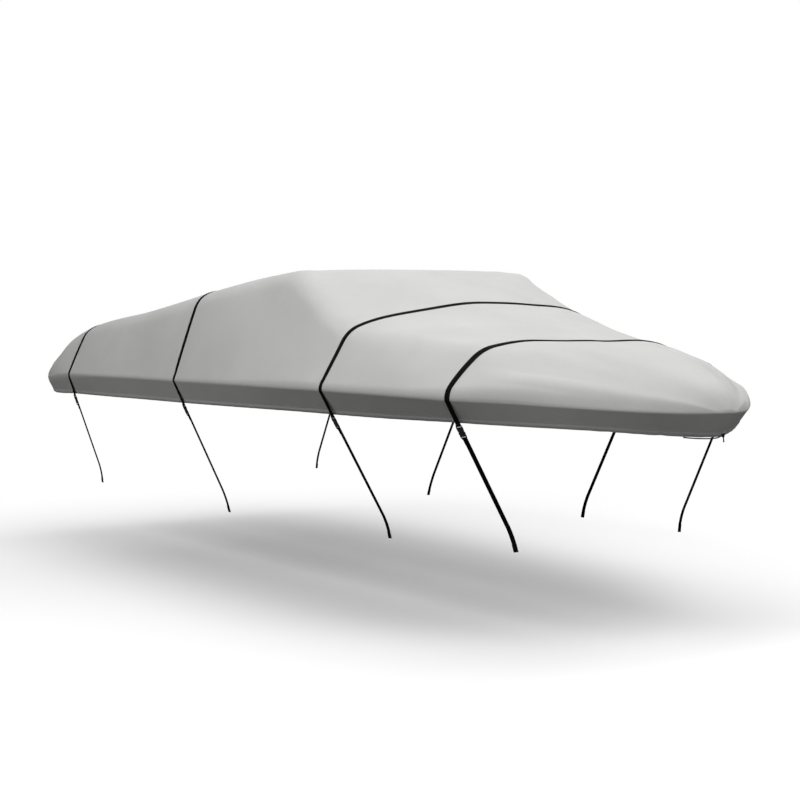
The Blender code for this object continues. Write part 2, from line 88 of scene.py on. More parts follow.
CORD_RADIUS = 0.0028
KNOT_CENTRE = (2.1660, 0.0133, -0.8145)
CORD_ROUTE = (
    (2.0880, -0.1530, -0.8226),
    (2.1080, -0.1180, -0.8262),
    (2.1260, -0.0820, -0.8284),
    (2.1420, -0.0450, -0.8288),
    (2.1550, -0.0120, -0.8262),
    (2.1625, 0.0058, -0.8184),
)

# Cross-sections from the stern to the bow, for the outer face of the cloth.
#   rail      half width and height of the crease at the rub rail
#   shoulder  half width and height of the edge between the side and the top
#   crown     height on the centre line
#   corner    length of cloth that each side of the shoulder's rounding takes
#   arch      power of the top's curve: 2 is a parabola, more is flatter with a rounder edge
#   bulge     how far the side stands out from its straight chord
#   lean      how much higher the port shoulder sits than the starboard one
#   drop      depth of the skirt, tuck its inward slope to the side, rake its slope along X
STATION_COLUMNS = ("x", "rail_y", "rail_z", "shoulder_y", "shoulder_z", "crown_z",
                   "corner", "arch", "bulge", "lean", "drop", "tuck", "rake")
STATIONS = (
    (-2.935, 0.920, -0.662, 0.895, -0.630, -0.600, 0.02, 2.2, 0.000, 0.00, 0.080, 0.030, 0.045),
    (-2.912, 1.025, -0.659, 0.980, -0.585, -0.530, 0.04, 2.2, 0.002, 0.00, 0.085, 0.035, 0.040),
    (-2.870, 1.084, -0.654, 1.035, -0.530, -0.445, 0.07, 2.2, 0.004, 0.00, 0.092, 0.042, 0.025),
    (-2.770, 1.100, -0.644, 1.028, -0.460, -0.350, 0.10, 2.2, 0.006, 0.00, 0.107, 0.048, 0.010),
    (-2.660, 1.101, -0.635, 1.000, -0.371, -0.280, 0.10, 2.2, 0.004, 0.00, 0.117, 0.052, 0.000),
    (-2.450, 1.100, -0.627, 0.960, -0.303, -0.220, 0.09, 2.2, 0.002, 0.00, 0.122, 0.056, 0.000),
    (-1.700, 1.102, -0.624, 0.946, -0.218, -0.140, 0.10, 2.2, 0.002, 0.01, 0.129, 0.062, 0.000),
    (-0.890, 1.100, -0.629, 0.930, -0.117, -0.050, 0.10, 2.2, 0.002, 0.02, 0.128, 0.070, 0.000),
    (-0.350, 1.096, -0.632, 0.880, -0.040, -0.008, 0.10, 2.6, 0.002, 0.03, 0.126, 0.076, 0.000),
    (-0.080, 1.093, -0.634, 0.840, -0.015, 0.002, 0.09, 3.4, 0.001, 0.04, 0.124, 0.079, 0.000),
    (0.000, 1.092, -0.635, 0.840, -0.022, 0.002, 0.09, 3.4, 0.000, 0.04, 0.123, 0.080, 0.000),
    (0.070, 1.091, -0.636, 0.845, -0.056, -0.020, 0.09, 3.4, -0.002, 0.02, 0.122, 0.081, 0.000),
    (0.300, 1.088, -0.638, 0.875, -0.192, -0.092, 0.09, 2.6, -0.004, -0.01, 0.120, 0.084, 0.000),
    (0.630, 1.080, -0.641, 0.915, -0.348, -0.200, 0.06, 2.5, -0.002, 0.01, 0.119, 0.087, 0.000),
    (0.970, 1.050, -0.648, 0.880, -0.392, -0.315, 0.08, 2.5, 0.000, -0.02, 0.115, 0.087, 0.000),
    (1.220, 1.010, -0.655, 0.830, -0.426, -0.382, 0.08, 2.7, 0.002, -0.045, 0.109, 0.087, 0.000),
    (1.440, 0.945, -0.664, 0.757, -0.472, -0.404, 0.07, 2.8, 0.002, -0.072, 0.103, 0.087, 0.000),
    (1.640, 0.805, -0.672, 0.600, -0.514, -0.430, 0.11, 2.6, 0.004, -0.065, 0.105, 0.080, 0.000),
    (1.820, 0.630, -0.688, 0.440, -0.560, -0.473, 0.12, 2.4, 0.006, -0.055, 0.100, 0.070, -0.012),
    (1.980, 0.440, -0.703, 0.295, -0.602, -0.528, 0.11, 2.2, 0.008, -0.040, 0.098, 0.060, -0.032),
    (2.090, 0.290, -0.715, 0.190, -0.635, -0.577, 0.08, 2.2, 0.008, -0.025, 0.097, 0.048, -0.054),
    (2.160, 0.185, -0.718, 0.122, -0.659, -0.615, 0.05, 2.2, 0.006, -0.015, 0.102, 0.038, -0.068),
    (2.200, 0.105, -0.717, 0.072, -0.681, -0.654, 0.03, 2.2, 0.003, 0.00, 0.107, 0.028, -0.076),
    (2.217, 0.045, -0.716, 0.034, -0.7145, -0.713, 0.008, 2.2, 0.000, 0.00, 0.108, 0.014, -0.080),
)

# Straps from the stern, each square across the cover at x; bend is where it turns over the
# trailer's rail, by bend_angle degrees, and fall is how far it runs on from there.
STRAP_COLUMNS = ("name", "x", "bend_y", "bend_z", "bend_angle", "fall")
STRAPS = (
    ("1", -2.450, 0.878, -1.260, 13.0, 0.100),
    ("2", -0.890, 0.774, -1.300, 10.0, 0.115),
    ("3", 0.630, 0.691, -1.298, 17.0, 0.095),
    ("4", 1.440, 0.572, -1.278, 18.0, 0.092),
)
SIDES = (("starboard", -1.0), ("port", 1.0))

# Soft folds and creases, each between two places.  A place is x and the share of the way from the
# crown (0) to the crease (1); height is out of the cloth, half_width is across the fold.
FOLD_COLUMNS = ("side", "x_from", "down_from", "x_to", "down_to", "height", "half_width")
FOLDS = (
    (-1, -0.34, 0.40, 0.50, 0.70, 0.004, 0.12),
    (-1, 0.58, 0.86, 1.48, 0.87, 0.006, 0.17),
    (-1, 0.68, 0.40, 1.30, 0.44, 0.003, 0.14),
    (-1, 1.50, 0.50, 2.00, 0.46, -0.005, 0.10),
    (-1, 1.46, 0.84, 2.02, 0.82, 0.005, 0.13),
    (-1, -0.85, 0.60, -0.10, 0.55, -0.004, 0.16),
    (-1, -2.40, 0.75, -0.95, 0.60, -0.005, 0.18),
    (-1, 0.25, 0.36, 1.00, 0.38, -0.017, 0.40),
    (-1, 1.20, 0.26, 1.68, 0.26, -0.008, 0.28),
    (1, -0.15, 0.32, 0.60, 0.62, 0.004, 0.10),
    (1, -0.12, 0.60, 0.20, 0.58, -0.013, 0.18),
    (1, 0.40, 0.42, 0.86, 0.42, 0.013, 0.28),
    (1, 0.36, 0.62, 1.25, 0.70, -0.020, 0.26),
    (1, 1.10, 0.74, 1.70, 0.72, -0.007, 0.15),
    (1, 1.34, 0.57, 1.54, 0.57, -0.020, 0.22),
    (1, 1.50, 0.84, 2.12, 0.84, -0.017, 0.11),
    (1, 0.80, 0.28, 1.40, 0.32, -0.012, 0.26),
    (1, 1.31, 0.31, 1.55, 0.31, 0.021, 0.34),
    (1, 0.72, 0.74, 1.40, 0.70, -0.006, 0.10),
    (1, 1.50, 0.58, 2.00, 0.54, -0.004, 0.08),
    (1, -0.80, 0.62, -0.15, 0.66, -0.005, 0.15),
    (1, -2.35, 0.66, -1.00, 0.72, -0.006, 0.17),
    (1, -2.20, 0.30, -1.10, 0.18, -0.008, 0.22),
)


# ---------------------------------------------------------------- mathematics that the pieces share

def rows_of(table, columns):
    """A table of tuples as a dictionary of arrays."""
    return {name: np.array([row[i] for row in table]) for i, name in enumerate(columns)}


def unit(vectors):
    """Vectors divided by their lengths."""
    return vectors / np.linalg.norm(vectors, axis=-1, keepdims=True)


def smooth_step(low, high, at):
    """0 below low, 1 above high, and 3t^2 - 2t^3 between them."""
    t = np.clip((at - low) / (high - low), 0.0, 1.0)
    return t * t * (3 - 2 * t)


def bump(distance):
    """1 at 0, falling as half a cosine wave to 0 at 1."""
    return 0.5 + 0.5 * np.cos(math.pi * np.minimum(np.abs(distance), 1.0))


def window(at, rise, fall):
    """1 between two places: a smooth step up over `rise` times a smooth step down over `fall`."""
    return smooth_step(*rise, at) * (1 - smooth_step(*fall, at))


def two_waves(at, first, second, share, turn):
    """sin(2 pi at / first) + share sin(2 pi at / second + turn): ripples that repeat unevenly."""
    return (np.sin(at * 2 * math.pi / first)
            + share * np.sin(at * 2 * math.pi / second + turn))


def eased(at, xs, ys):
    """A monotone cubic through (xs, ys): Hermite pieces whose slopes are weighted harmonic means of
    their neighbours', so that it never overshoots."""
    span = np.diff(xs)
    slope = np.diff(ys) / span
    tangent = np.concatenate(([slope[0]], np.zeros(len(xs) - 2), [slope[-1]]))
    before, after = 2 * span[1:] + span[:-1], span[1:] + 2 * span[:-1]
    with np.errstate(divide="ignore", invalid="ignore"):
        mean = (before + after) / (before / slope[:-1] + after / slope[1:])
    tangent[1:-1] = np.where(slope[:-1] * slope[1:] > 0, mean, 0.0)
    k = np.clip(np.searchsorted(xs, at) - 1, 0, len(xs) - 2)
    t = (at - xs[k]) / span[k]
    return ((2 * t**3 - 3 * t**2 + 1) * ys[k] + (t**3 - 2 * t**2 + t) * span[k] * tangent[k]
            + (3 * t**2 - 2 * t**3) * ys[k + 1] + (t**3 - t**2) * span[k] * tangent[k + 1])


def along(points):
    """Arc length from the first point of a line of points."""
    steps = np.linalg.norm(np.diff(points, axis=0), axis=1)
    return np.concatenate(([0.0], np.cumsum(steps)))


def softened(values, sigma):
    """A line of values at even steps blurred with a Gaussian of `sigma` steps; the ends stay."""
    reach = max(1, int(3 * sigma))
    kernel = np.exp(-0.5 * (np.arange(-reach, reach + 1) / sigma) ** 2)
    kernel /= kernel.sum()
    head = 2 * values[:1] - values[reach:0:-1]
    tail = 2 * values[-1:] - values[-2:-reach - 2:-1]
    padded = np.concatenate((head, values, tail))
    columns = [np.convolve(column, kernel, "valid") for column in padded.T]
    return np.stack(columns, axis=1)


def softened_grid(points, sigma):
    """A grid of points blurred with a Gaussian of `sigma` steps both ways; its corners stay."""
    rows, cols = points.shape[:2]
    down = softened(points.reshape(rows, -1), sigma).reshape(points.shape)
    across = softened(down.transpose(1, 0, 2).reshape(cols, -1), sigma)
    return across.reshape(cols, rows, 3).transpose(1, 0, 2)


def normals_of(points):
    """Unit normals of a grid: the cross product of its two directions of running."""
    return unit(np.cross(np.gradient(points, axis=0), np.gradient(points, axis=1)))


def parabola(start, middle, stop, t):
    """The curve (1 - t)^2 start + 2 t (1 - t) middle + t^2 stop."""
    return start * (1 - t) ** 2 + middle * 2 * t * (1 - t) + stop * t**2


def grid_faces(rows, cols, close_rows=False, close_cols=False):
    """Corner indices of the quads of a grid of rows x cols points, closed either way if asked."""
    i = np.arange(rows if close_rows else rows - 1)[:, None]
    j = np.arange(cols if close_cols else cols - 1)[None, :]
    i2, j2 = (i + 1) % rows, (j + 1) % cols
    quads = (i * cols + j, i2 * cols + j, i2 * cols + j2, i * cols + j2)
    return np.stack([q.ravel() for q in quads], axis=1)


def pairs(rows, cols):
    """Points (n, 2) of a grid, from values that run down its rows and others that run across."""
    return np.stack(np.broadcast_arrays(rows, cols), axis=2).reshape(-1, 2)


def make_piece(name, points, faces, material, uv=None, caps=()):
    """An object from points (n, 3), quads (m, 4), end faces given as lists of corners and, where a
    pattern follows it, uv per corner of each quad (m, 4, 2)."""
    mesh = bpy.data.meshes.new(name)
    corners = np.asarray(faces).tolist() + list(caps)
    mesh.from_pydata(np.asarray(points, float).reshape(-1, 3).tolist(), [], corners)
    if uv is not None:
        layer = mesh.uv_layers.new(name=UV_NAME)
        flat = np.zeros(2 * len(mesh.loops), np.float32)
        flat[:np.size(uv)] = np.ravel(uv)
        layer.data.foreach_set("uv", flat)
    mesh.shade_smooth()
    mesh.materials.append(material)
    piece = bpy.data.objects.new(name, mesh)
    bpy.context.scene.collection.objects.link(piece)
    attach(piece, "root")
    return piece


def outward_normals(piece):
    """Turns every face of a closed mesh outwards."""
    shape = bmesh.new()
    shape.from_mesh(piece.data)
    bmesh.ops.recalc_face_normals(shape, faces=shape.faces)
    shape.to_mesh(piece.data)
    shape.free()


# ---------------------------------------------------------------- the cover cloth

STATION = rows_of(STATIONS, STATION_COLUMNS)

ROW_STEP = 0.030           # distance between cross-sections away from straps and ends
FINE_ROW_STEP = 0.009      # and beside a strap or at the ends
TOP_SPANS = 38             # from the crown to the shoulder, one side
CORNER_SPANS = 8
SIDE_SPANS = 13
RAIL_SPANS = 6
SKIRT_DEPTHS = (0.004, 0.009, 0.016, 0.026, 0.040, 0.058, 0.074, 0.086, 0.0905)
SKIRT_END = 0.0945         # where the free cloth meets the hem's casing, on the same scale
HEM = 0.024                # height of the hem's casing, with the draw cord inside
HEM_SHARES = (0.0, 0.12, 0.3, 0.5, 0.7, 0.85, 0.95, 1.0)
HEM_BULGE = 0.0018
RAIL_MOST = 0.35           # share of the side's height that the band over the rub rail may take
CORNER_MOST = 0.48         # share of the side's length that the shoulder's rounding may take
BEND_MOST = 0.30           # and that the bend over the rub rail may take
BEND_SHARE = 0.90          # that bend's length against the band's height
NOSE_FROM = 1.95           # x from which the bow is rounded in plan
NOSE_ROUND = 0.007         # how far its corners lie behind its middle at its tip
NOSE_TIP = (2.08, 2.18)    # x over which the gathers end
NOSE_BLUR = 4.5            # steps of the grid over which the bow is smoothed
BLUR_FROM = (1.56, 2.00)   # x over which that sets in
BITE_DEPTH = 0.0022        # dip of the cloth under a strap
BITE_REACH = 0.022         # its spread to each side
FINE_REACH = (0.02, 0.25)  # distance from a strap or an end over which the rows grow wide apart
GATHER = 0.0010            # height of the small gathers at the bow and the stern
GATHER_REACH = 0.05        # how far up from the crease they fade
SLIGHT_GATHER = 0.0004     # height of the skirt's ripples elsewhere
FOLDS_END = 0.06           # the folds fade over this distance from the crease


def at_station(x):
    """Every column of the station table, read at x."""
    x = np.asarray(x, float)
    return {name: eased(x, STATION["x"], STATION[name]) for name in STATION_COLUMNS}


def row_positions():
    """x of the cross-sections: even steps of a running sum of 1 / spacing, with the straps' middles
    and edges among them."""
    fine = np.linspace(STATION["x"][0], STATION["x"][-1], 6001)
    straps_and_ends = [np.abs(fine - s[1]) for s in STRAPS] + [fine - fine[0], fine[-1] - fine]
    near = np.min(straps_and_ends, axis=0)
    spacing = FINE_ROW_STEP + (ROW_STEP - FINE_ROW_STEP) * smooth_step(*FINE_REACH, near)
    steps = 0.5 * (1 / spacing[1:] + 1 / spacing[:-1]) * np.diff(fine)
    total = np.concatenate(([0.0], np.cumsum(steps)))
    rows = np.interp(np.linspace(0.0, total[-1], round(total[-1]) + 1), total, fine)
    for strap in STRAPS:
        for edge in (-0.5, 0.0, 0.5):
            place = strap[1] + edge * WEB_WIDTH
            rows[np.argmin(np.abs(rows - place))] = place
    return rows


def rail_height(x):
    """Upright band of cloth over the rub rail, above the crease: 12 mm at the stern, 24 mm beside the
    foredeck and 50 mm at the bow."""
    return 0.012 + 0.012 * smooth_step(-0.9, 0.5, x) + 0.026 * smooth_step(1.2, 1.7, x)


def crease_radius(x):
    """Softness of the crease: 6 mm from amidships to the bow, growing to 36 mm at the stern."""
    return 0.006 + 0.030 * (1.0 - smooth_step(-2.75, -1.9, x))


def half_sections(x):
    """Points (rows, columns, 2) of (y, z) from the crown to the crease.

    The top is z = shoulder + (crown - shoulder)(1 - (y / shoulder_y)^arch); the shoulder and the bend
    over the rub rail are parabolas between their straight neighbours; the side is a chord that
    stands out by bulge 4 s (1 - s).
    """
    s = at_station(x)
    shoulder = np.stack((s["shoulder_y"], s["shoulder_z"]), axis=1)
    crease = np.stack((s["rail_y"], s["rail_z"]), axis=1)
    rail = np.minimum(rail_height(x), RAIL_MOST * (shoulder[:, 1] - crease[:, 1]))
    upright = np.stack((np.zeros_like(rail), rail), axis=1)
    side = crease + upright - shoulder
    side_length = np.linalg.norm(side, axis=1)
    way = side / side_length[:, None]
    outward = np.stack((-way[:, 1], way[:, 0]), axis=1)
    corner = np.minimum(s["corner"], CORNER_MOST * side_length)
    bend = np.minimum(BEND_SHARE * rail, BEND_MOST * side_length)

    def shares(spans):
        """Even shares of a stretch, k / spans for k from 1 to spans."""
        return np.linspace(0.0, 1.0, spans + 1)[None, 1:, None]

    def turn(start, middle, stop, spans):
        """A parabola in each row, at even shares."""
        return parabola(start[:, None], middle[:, None], stop[:, None], shares(spans))

    edge = s["shoulder_y"] - corner
    y = edge[:, None] * np.linspace(0.0, 1.0, TOP_SPANS + 1)
    fall = 1.0 - (y / s["shoulder_y"][:, None]) ** s["arch"][:, None]
    z = shoulder[:, 1:] + (s["crown_z"] - s["shoulder_z"])[:, None] * fall
    top = np.stack((y, z), axis=2)
    corner_end = shoulder + way * corner[:, None]
    over_shoulder = turn(top[:, -1], shoulder, corner_end, CORNER_SPANS)
    share = shares(SIDE_SPANS)
    run = corner[:, None, None] + (side_length - corner - bend)[:, None, None] * share
    bulge = 4 * s["bulge"][:, None, None] * share * (1 - share)
    flank = shoulder[:, None] + way[:, None] * run + outward[:, None] * bulge
    over_rail = turn(flank[:, -1], crease + upright, crease, RAIL_SPANS)
    return np.concatenate((top, over_shoulder, flank, over_rail), axis=1)


def cloth_grid(x):
    """The cloth above a crease that is still sharp: both half sections, with z raised to port by
    lean / 2 times the share of the height and of the width, the nose rounded by
    NOSE_ROUND (y / rail_y)^2, and the bow blurred."""
    half = half_sections(x)
    section = np.concatenate((half[:, :0:-1] * (-1.0, 1.0), half), axis=1)
    rows = np.broadcast_to(x[:, None, None], (*section.shape[:2], 1))
    grid = np.concatenate((rows, section), axis=2)
    s = {name: column[:, None] for name, column in at_station(x).items()}
    height = (grid[..., 2] - s["rail_z"]) / (s["crown_z"] - s["rail_z"])
    grid[..., 2] += 0.5 * s["lean"] * height * grid[..., 1] / s["shoulder_y"]
    nose = smooth_step(NOSE_FROM, x[-1], x)
    grid[..., 0] -= NOSE_ROUND * nose[:, None] * (grid[..., 1] / s["rail_y"]) ** 2
    at_nose = smooth_step(*BLUR_FROM, x)[:, None, None]
    return grid * (1 - at_nose) + softened_grid(grid, NOSE_BLUR) * at_nose


def girth_of(grid):
    """Distance along each cross-section from the crown, below 0 to starboard."""
    steps = np.linalg.norm(np.diff(grid, axis=1), axis=2)
    girth = np.concatenate((np.zeros((len(grid), 1)), np.cumsum(steps, axis=1)), axis=1)
    middle = grid.shape[1] // 2
    return girth - girth[:, middle:middle + 1]


def fold_heights(x, girth):
    """Height out of the cloth at each point of the grid: the sum of the folds, each a cosine bump
    across its line times a sine^0.7 from end to end."""
    middle = girth.shape[1] // 2
    lift = np.zeros_like(girth)
    for record in FOLDS:
        fold = dict(zip(FOLD_COLUMNS, record))
        share = (x - fold["x_from"]) / (fold["x_to"] - fold["x_from"])
        ends = np.sin(math.pi * np.clip(share, 0.0, 1.0)) ** 0.7
        extent = girth[:, -1] if fold["side"] > 0 else girth[:, 0]
        centre = extent * (fold["down_from"] + (fold["down_to"] - fold["down_from"]) * share)
        away = (girth - centre[:, None]) / fold["half_width"]
        same_side = np.sign(np.arange(girth.shape[1]) - middle) == fold["side"]
        lift += fold["height"] * bump(away) * ends[:, None] * same_side
    return lift


def cloth_relief(x, girth):
    """Height out of the cloth above the crease: its folds, a dip exp(-(d / reach)^2 / 2) under each
    strap, and two waves of gathers at the bow that fade with exp(-distance from the crease)."""
    from_side = np.minimum(girth - girth[:, :1], girth[:, -1:] - girth)
    from_end = np.minimum(x - x[0], x[-1] - x)
    from_strap = x[:, None] - np.array([strap[1] for strap in STRAPS])
    lift = fold_heights(x, girth)
    pressed = np.exp(-0.5 * (from_strap / BITE_REACH) ** 2).sum(axis=1)
    lift -= BITE_DEPTH * pressed[:, None]
    waves = window(x, (1.60, 1.90), NOSE_TIP) * two_waves(x, 0.071, 0.113, 0.7, 0.8)
    lift += GATHER * waves[:, None] * np.exp(-from_side / GATHER_REACH)
    keep = smooth_step(0.0, FOLDS_END, from_side)
    keep = keep * smooth_step(0.0, FOLDS_END, from_end)[:, None]
    return lift * keep


def rim_indices(rows, cols):
    """Row and column of each point of the crease, once round: stern, port side, bow, starboard."""
    last_row, last_col = rows - 1, cols - 1
    i = np.concatenate((np.zeros(last_col, int), np.arange(last_row),
                        np.full(last_col, last_row), np.arange(last_row, 0, -1)))
    j = np.concatenate((np.arange(last_col), np.full(last_row, last_col),
                        np.arange(last_col, 0, -1), np.zeros(last_row, int)))
    return i, j


def nearest_rims(values):
    """For each point of a grid, the values at its row's rim on its own side, and at its column's
    rim at its own end."""
    rows, cols = values.shape[:2]
    starboard = (np.arange(cols) < cols // 2)[None, :, None]
    aft = (np.arange(rows) < rows // 2)[:, None, None]
    return (np.where(starboard, values[:, :1], values[:, -1:]),
            np.where(aft, values[:1], values[-1:]))


def rounded(distance, radius, up, down, above):
    """How far a point at `distance` from a sharp crease moves on to the curve that rounds it:
    B(t) = (1 - t)^2 r up + t^2 r down, with t = (1 -/+ distance / r) / 2 above or below it."""
    reach = np.minimum(distance / radius, 1.0)
    t = (1 - reach) / 2 if above else (1 + reach) / 2
    r = radius[..., None]
    moved = (1 - t)[..., None] ** 2 * r * up + t[..., None] ** 2 * r * down
    return moved - (reach * radius)[..., None] * (up if above else down)


def crease_moves(grid, down):
    """Moves of the grid's points on to the rounded crease: that towards the rim of the same row and
    that of the same column, each weighed by the squared distance to the other."""
    squares, moves = [], []
    for rim, way_down in zip(nearest_rims(grid), nearest_rims(down)):
        apart = np.linalg.norm(grid - rim, axis=2)
        way_up = (grid - rim) / np.maximum(apart, 1e-9)[..., None]
        squares.append(apart**2)
        moves.append(rounded(apart, crease_radius(rim[..., 0]), way_up, way_down, True))
    share = (squares[1] / np.maximum(squares[0] + squares[1], 1e-12))[..., None]
    return moves[0] * share + moves[1] * (1 - share)


def skirt_lines(crease, x):
    """The straight ways down from the crease to the hem: each one's direction and length."""
    s = at_station(x)
    hem = np.stack((crease[:, 0] + s["rake"], crease[:, 1] * (1.0 - s["tuck"] / s["rail_y"]),
                    s["rail_z"] - s["drop"]), axis=1)
    return unit(hem - crease), np.linalg.norm(hem - crease, axis=1)


def skirt_relief(crease, around, below, depth):
    """Height out of the skirt: ripples that grow as (share of its depth)^1.5, most at the bow and
    the stern, and the casing's bulge, sine^0.8 over the hem."""
    x = crease[:, 0]
    at_bow = window(x, (1.7, 2.0), NOSE_TIP)
    at_stern = 1 - smooth_step(-2.85, -2.6, x)
    gather = SLIGHT_GATHER + GATHER * at_bow + GATHER * at_stern
    ripple = two_waves(around, 0.083, 0.131, 0.6, 1.3)
    in_hem = np.clip((below - (depth[:, None] - HEM)) / HEM, 0.0, 1.0)
    share = below / depth[:, None]
    return (gather[:, None] * share**1.5 * ripple[:, None]
            + HEM_BULGE * np.sin(math.pi * in_hem) ** 0.8)


def cover_cloth():
    """The cloth's outer face, with its crease rounded and its folds, gathers and hem raised.

    Returns x of the grid's rows, its points, their signed girth from the crown, the points of the
    skirt's rings round the crease, each one's distance below it, and the length round the crease.
    """
    x = row_positions()
    grid = cloth_grid(x)
    girth = girth_of(grid)
    rows, cols = grid.shape[:2]
    i, j = rim_indices(rows, cols)
    crease = grid[i, j]
    down, depth = skirt_lines(crease, x[i])
    free = (depth - HEM)[:, None] * np.array(SKIRT_DEPTHS) / SKIRT_END
    casing = depth[:, None] - HEM * (1.0 - np.array(HEM_SHARES))
    below = np.concatenate((free, casing), axis=1)

    up = unit(grid[np.clip(i, 1, rows - 2), np.clip(j, 1, cols - 2)] - crease)
    radius = crease_radius(crease[:, 0])[:, None]
    down_at_rim = np.zeros_like(grid)
    down_at_rim[i, j] = down
    move = crease_moves(grid, down_at_rim)
    move[i, j] = 0.25 * radius * (up + down)        # the rounding's curve at t = 1/2
    grid = grid + move + normals_of(grid) * cloth_relief(x, girth)[..., None]

    around = along(np.concatenate((crease, crease[:1])))[:-1]
    face = unit(np.cross(np.roll(crease, -1, axis=0) - np.roll(crease, 1, axis=0), down))
    rings = crease[:, None] + down[:, None] * below[..., None]
    rings = rings + rounded(below, radius, up[:, None], down[:, None], False)
    rings = rings + face[:, None] * skirt_relief(crease, around, below, depth)[..., None]
    return x, grid, girth, rings, below, around


def build_cover():
    """One mesh: the grid's quads, and rings of quads from the grid's rim to the hem; 2 mm thick
    inwards.  The weave runs on (x, girth) above the crease and on (length round, depth) below."""
    x, grid, girth, rings, below, around = cover_cloth()
    rows, cols = grid.shape[:2]
    i, j = rim_indices(rows, cols)
    count, levels = below.shape
    points = np.concatenate((grid.reshape(-1, 3), rings.reshape(-1, 3)))
    top_faces = grid_faces(rows, cols)
    ring_index = rows * cols + np.arange(count * levels).reshape(count, levels)
    ring_index = np.concatenate(((i * cols + j)[:, None], ring_index), axis=1)
    skirt_faces = ring_index.ravel()[grid_faces(count, levels + 1, close_rows=True)]

    top_uv = pairs(x[:, None], girth)[top_faces]
    depth_uv = np.concatenate((np.zeros((count, 1)), below), axis=1)
    run_uv = np.concatenate((around, [around[-1] + around[1]]))
    skirt_uv = pairs(run_uv[:, None], np.concatenate((depth_uv, depth_uv[:1])))
    skirt_uv = skirt_uv[grid_faces(count + 1, levels + 1)]
    piece = make_piece("cover_cloth", points, np.concatenate((top_faces, skirt_faces)),
                       cloth_material(), np.concatenate((top_uv, skirt_uv)))
    wall = piece.modifiers.new("cloth thickness", "SOLIDIFY")
    wall.thickness = CLOTH
    wall.offset = -1.0
    wall.use_even_offset = True
    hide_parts("cover")
    return x, grid


# ---------------------------------------------------------------- webbing straps

RIBBON_STEP = 0.008        # distance between the webbing's cross-sections on its straight runs
CLOSE_STEP = 0.003         # and where it nears a turn
TURN_POINTS = 17           # round a bar
SETTLE = 0.012             # length over which a turned end comes back down to its own run
SEAM_FROM = (0.03, 0.12)   # distance from the buckle's run over which the seam's thickness grows
OVER_CREASE = (0.2, 0.4, 0.6, 0.8, 1.0, 1.3)    # points below the crease, in its radii
RAIL_BEND = 0.03           # webbing on each side of the trailer rail's corner that the bend takes
ON_RAIL = 0.3              # share of the strap's fall over the rail that is only half turned
# Half of the webbing's section: place across it as a share of half its width, height as a share of
# half its thickness; the edges are woven a little thicker.
WEB_SECTION = ((0.0, 0.92), (0.35, 0.92), (0.66, 0.92), (0.84, 0.96), (0.93, 1.0), (0.985, 0.72),
               (1.0, 0.0))


def run_of(strap, side):
    """The straight way of a strap from the crease down to the trailer: u down along it, v across it
    towards the bow, n out from the boat."""
    x = strap["x"] + np.array((-0.5, 0.5)) * WEB_WIDTH
    s = at_station(x)
    aft, fore = np.stack((x, s["rail_y"], s["rail_z"]), axis=1)
    middle = (aft + fore) / 2
    bend = np.array((middle[0], strap["bend_y"], strap["bend_z"]))
    length = float(np.linalg.norm(bend - middle))
    u = (bend - middle) / length
    across = fore - aft
    v = unit(across - u * (across @ u))
    n = np.cross(v, u)
    mirror = np.array((1.0, side, 1.0))
    start = middle + n * (GAP + WEB_THICKNESS / 2)
    hem = float(at_station(strap["x"])["drop"]) / -u[2]
    return {"crease": middle * mirror, "start": start * mirror, "u": u * mirror, "v": v * mirror,
            "n": n * mirror, "length": length, "buckle_top": hem + BUCKLE_BELOW_HEM}


def in_run(run, path):
    """Points (a, b) of a run's plane, a along u and b along n, in the world."""
    path = np.asarray(path, float)
    return run["start"] + path[:, :1] * run["u"] + path[:, 1:] * run["n"]


def turned_end(radius, settle):
    """Centre line of a webbing end that turns round a bar in a half circle and lies back on itself,
    coming down by a smooth step over `settle`."""
    angles = np.radians(np.linspace(-90, 90, TURN_POINTS))
    turn = np.stack((radius * np.cos(angles), radius + radius * np.sin(angles)), axis=1)
    back = np.linspace(0.0, SEWN_END, 19)[1:]
    fall = 1 - smooth_step(0.0, max(settle, 1e-6), back)
    height = 2 * FOLD_RADIUS + (2 * radius - 2 * FOLD_RADIUS) * fall
    return np.concatenate((turn, np.stack((-back, height), axis=1)))


def placed(points, a, b=0.0, angle=0.0):
    """Points (a, b) turned by `angle` degrees to the left and moved."""
    c, s = math.cos(math.radians(angle)), math.sin(math.radians(angle))
    return np.asarray(points) @ np.array(((c, s), (-s, c))) + (a, b)


def straight(start, stop, spacing=RIBBON_STEP):
    """Points (a, 0) from start up to but without stop."""
    count = max(2, round(abs(stop - start) / spacing))
    return np.stack((np.linspace(start, stop, count, endpoint=False), np.zeros(count)), axis=1)


def ribbon(name, line, across, thickness=WEB_THICKNESS):
    """Webbing along a line of points with its width along `across`: its face looks along
    across x way.  The section's quarter is mirrored to a closed loop and carried along the line."""
    way = unit(np.gradient(line, axis=0))
    across = unit(across - way * np.sum(across * way, axis=1, keepdims=True))
    face = np.cross(across, way)
    quarter = np.array(WEB_SECTION)
    upper = np.concatenate((quarter[:0:-1] * (-1, 1), quarter))
    loop = np.concatenate((upper, upper[-2:0:-1] * (1, -1))) * (WEB_WIDTH / 2, 0.5)
    height = loop[:, 1] * np.broadcast_to(thickness, len(line))[:, None]
    points = line[:, None] + across[:, None] * loop[None, :, :1] + face[:, None] * height[..., None]
    rows, cols = len(line), len(loop)
    faces = grid_faces(rows, cols, close_cols=True)
    uv = pairs(along(line)[:, None], loop[None, :, 0])[faces]
    caps = np.stack((np.arange(cols), (rows - 1) * cols + np.arange(cols)[::-1])).tolist()
    return make_piece(name, points, faces, webbing_material(), uv, caps)


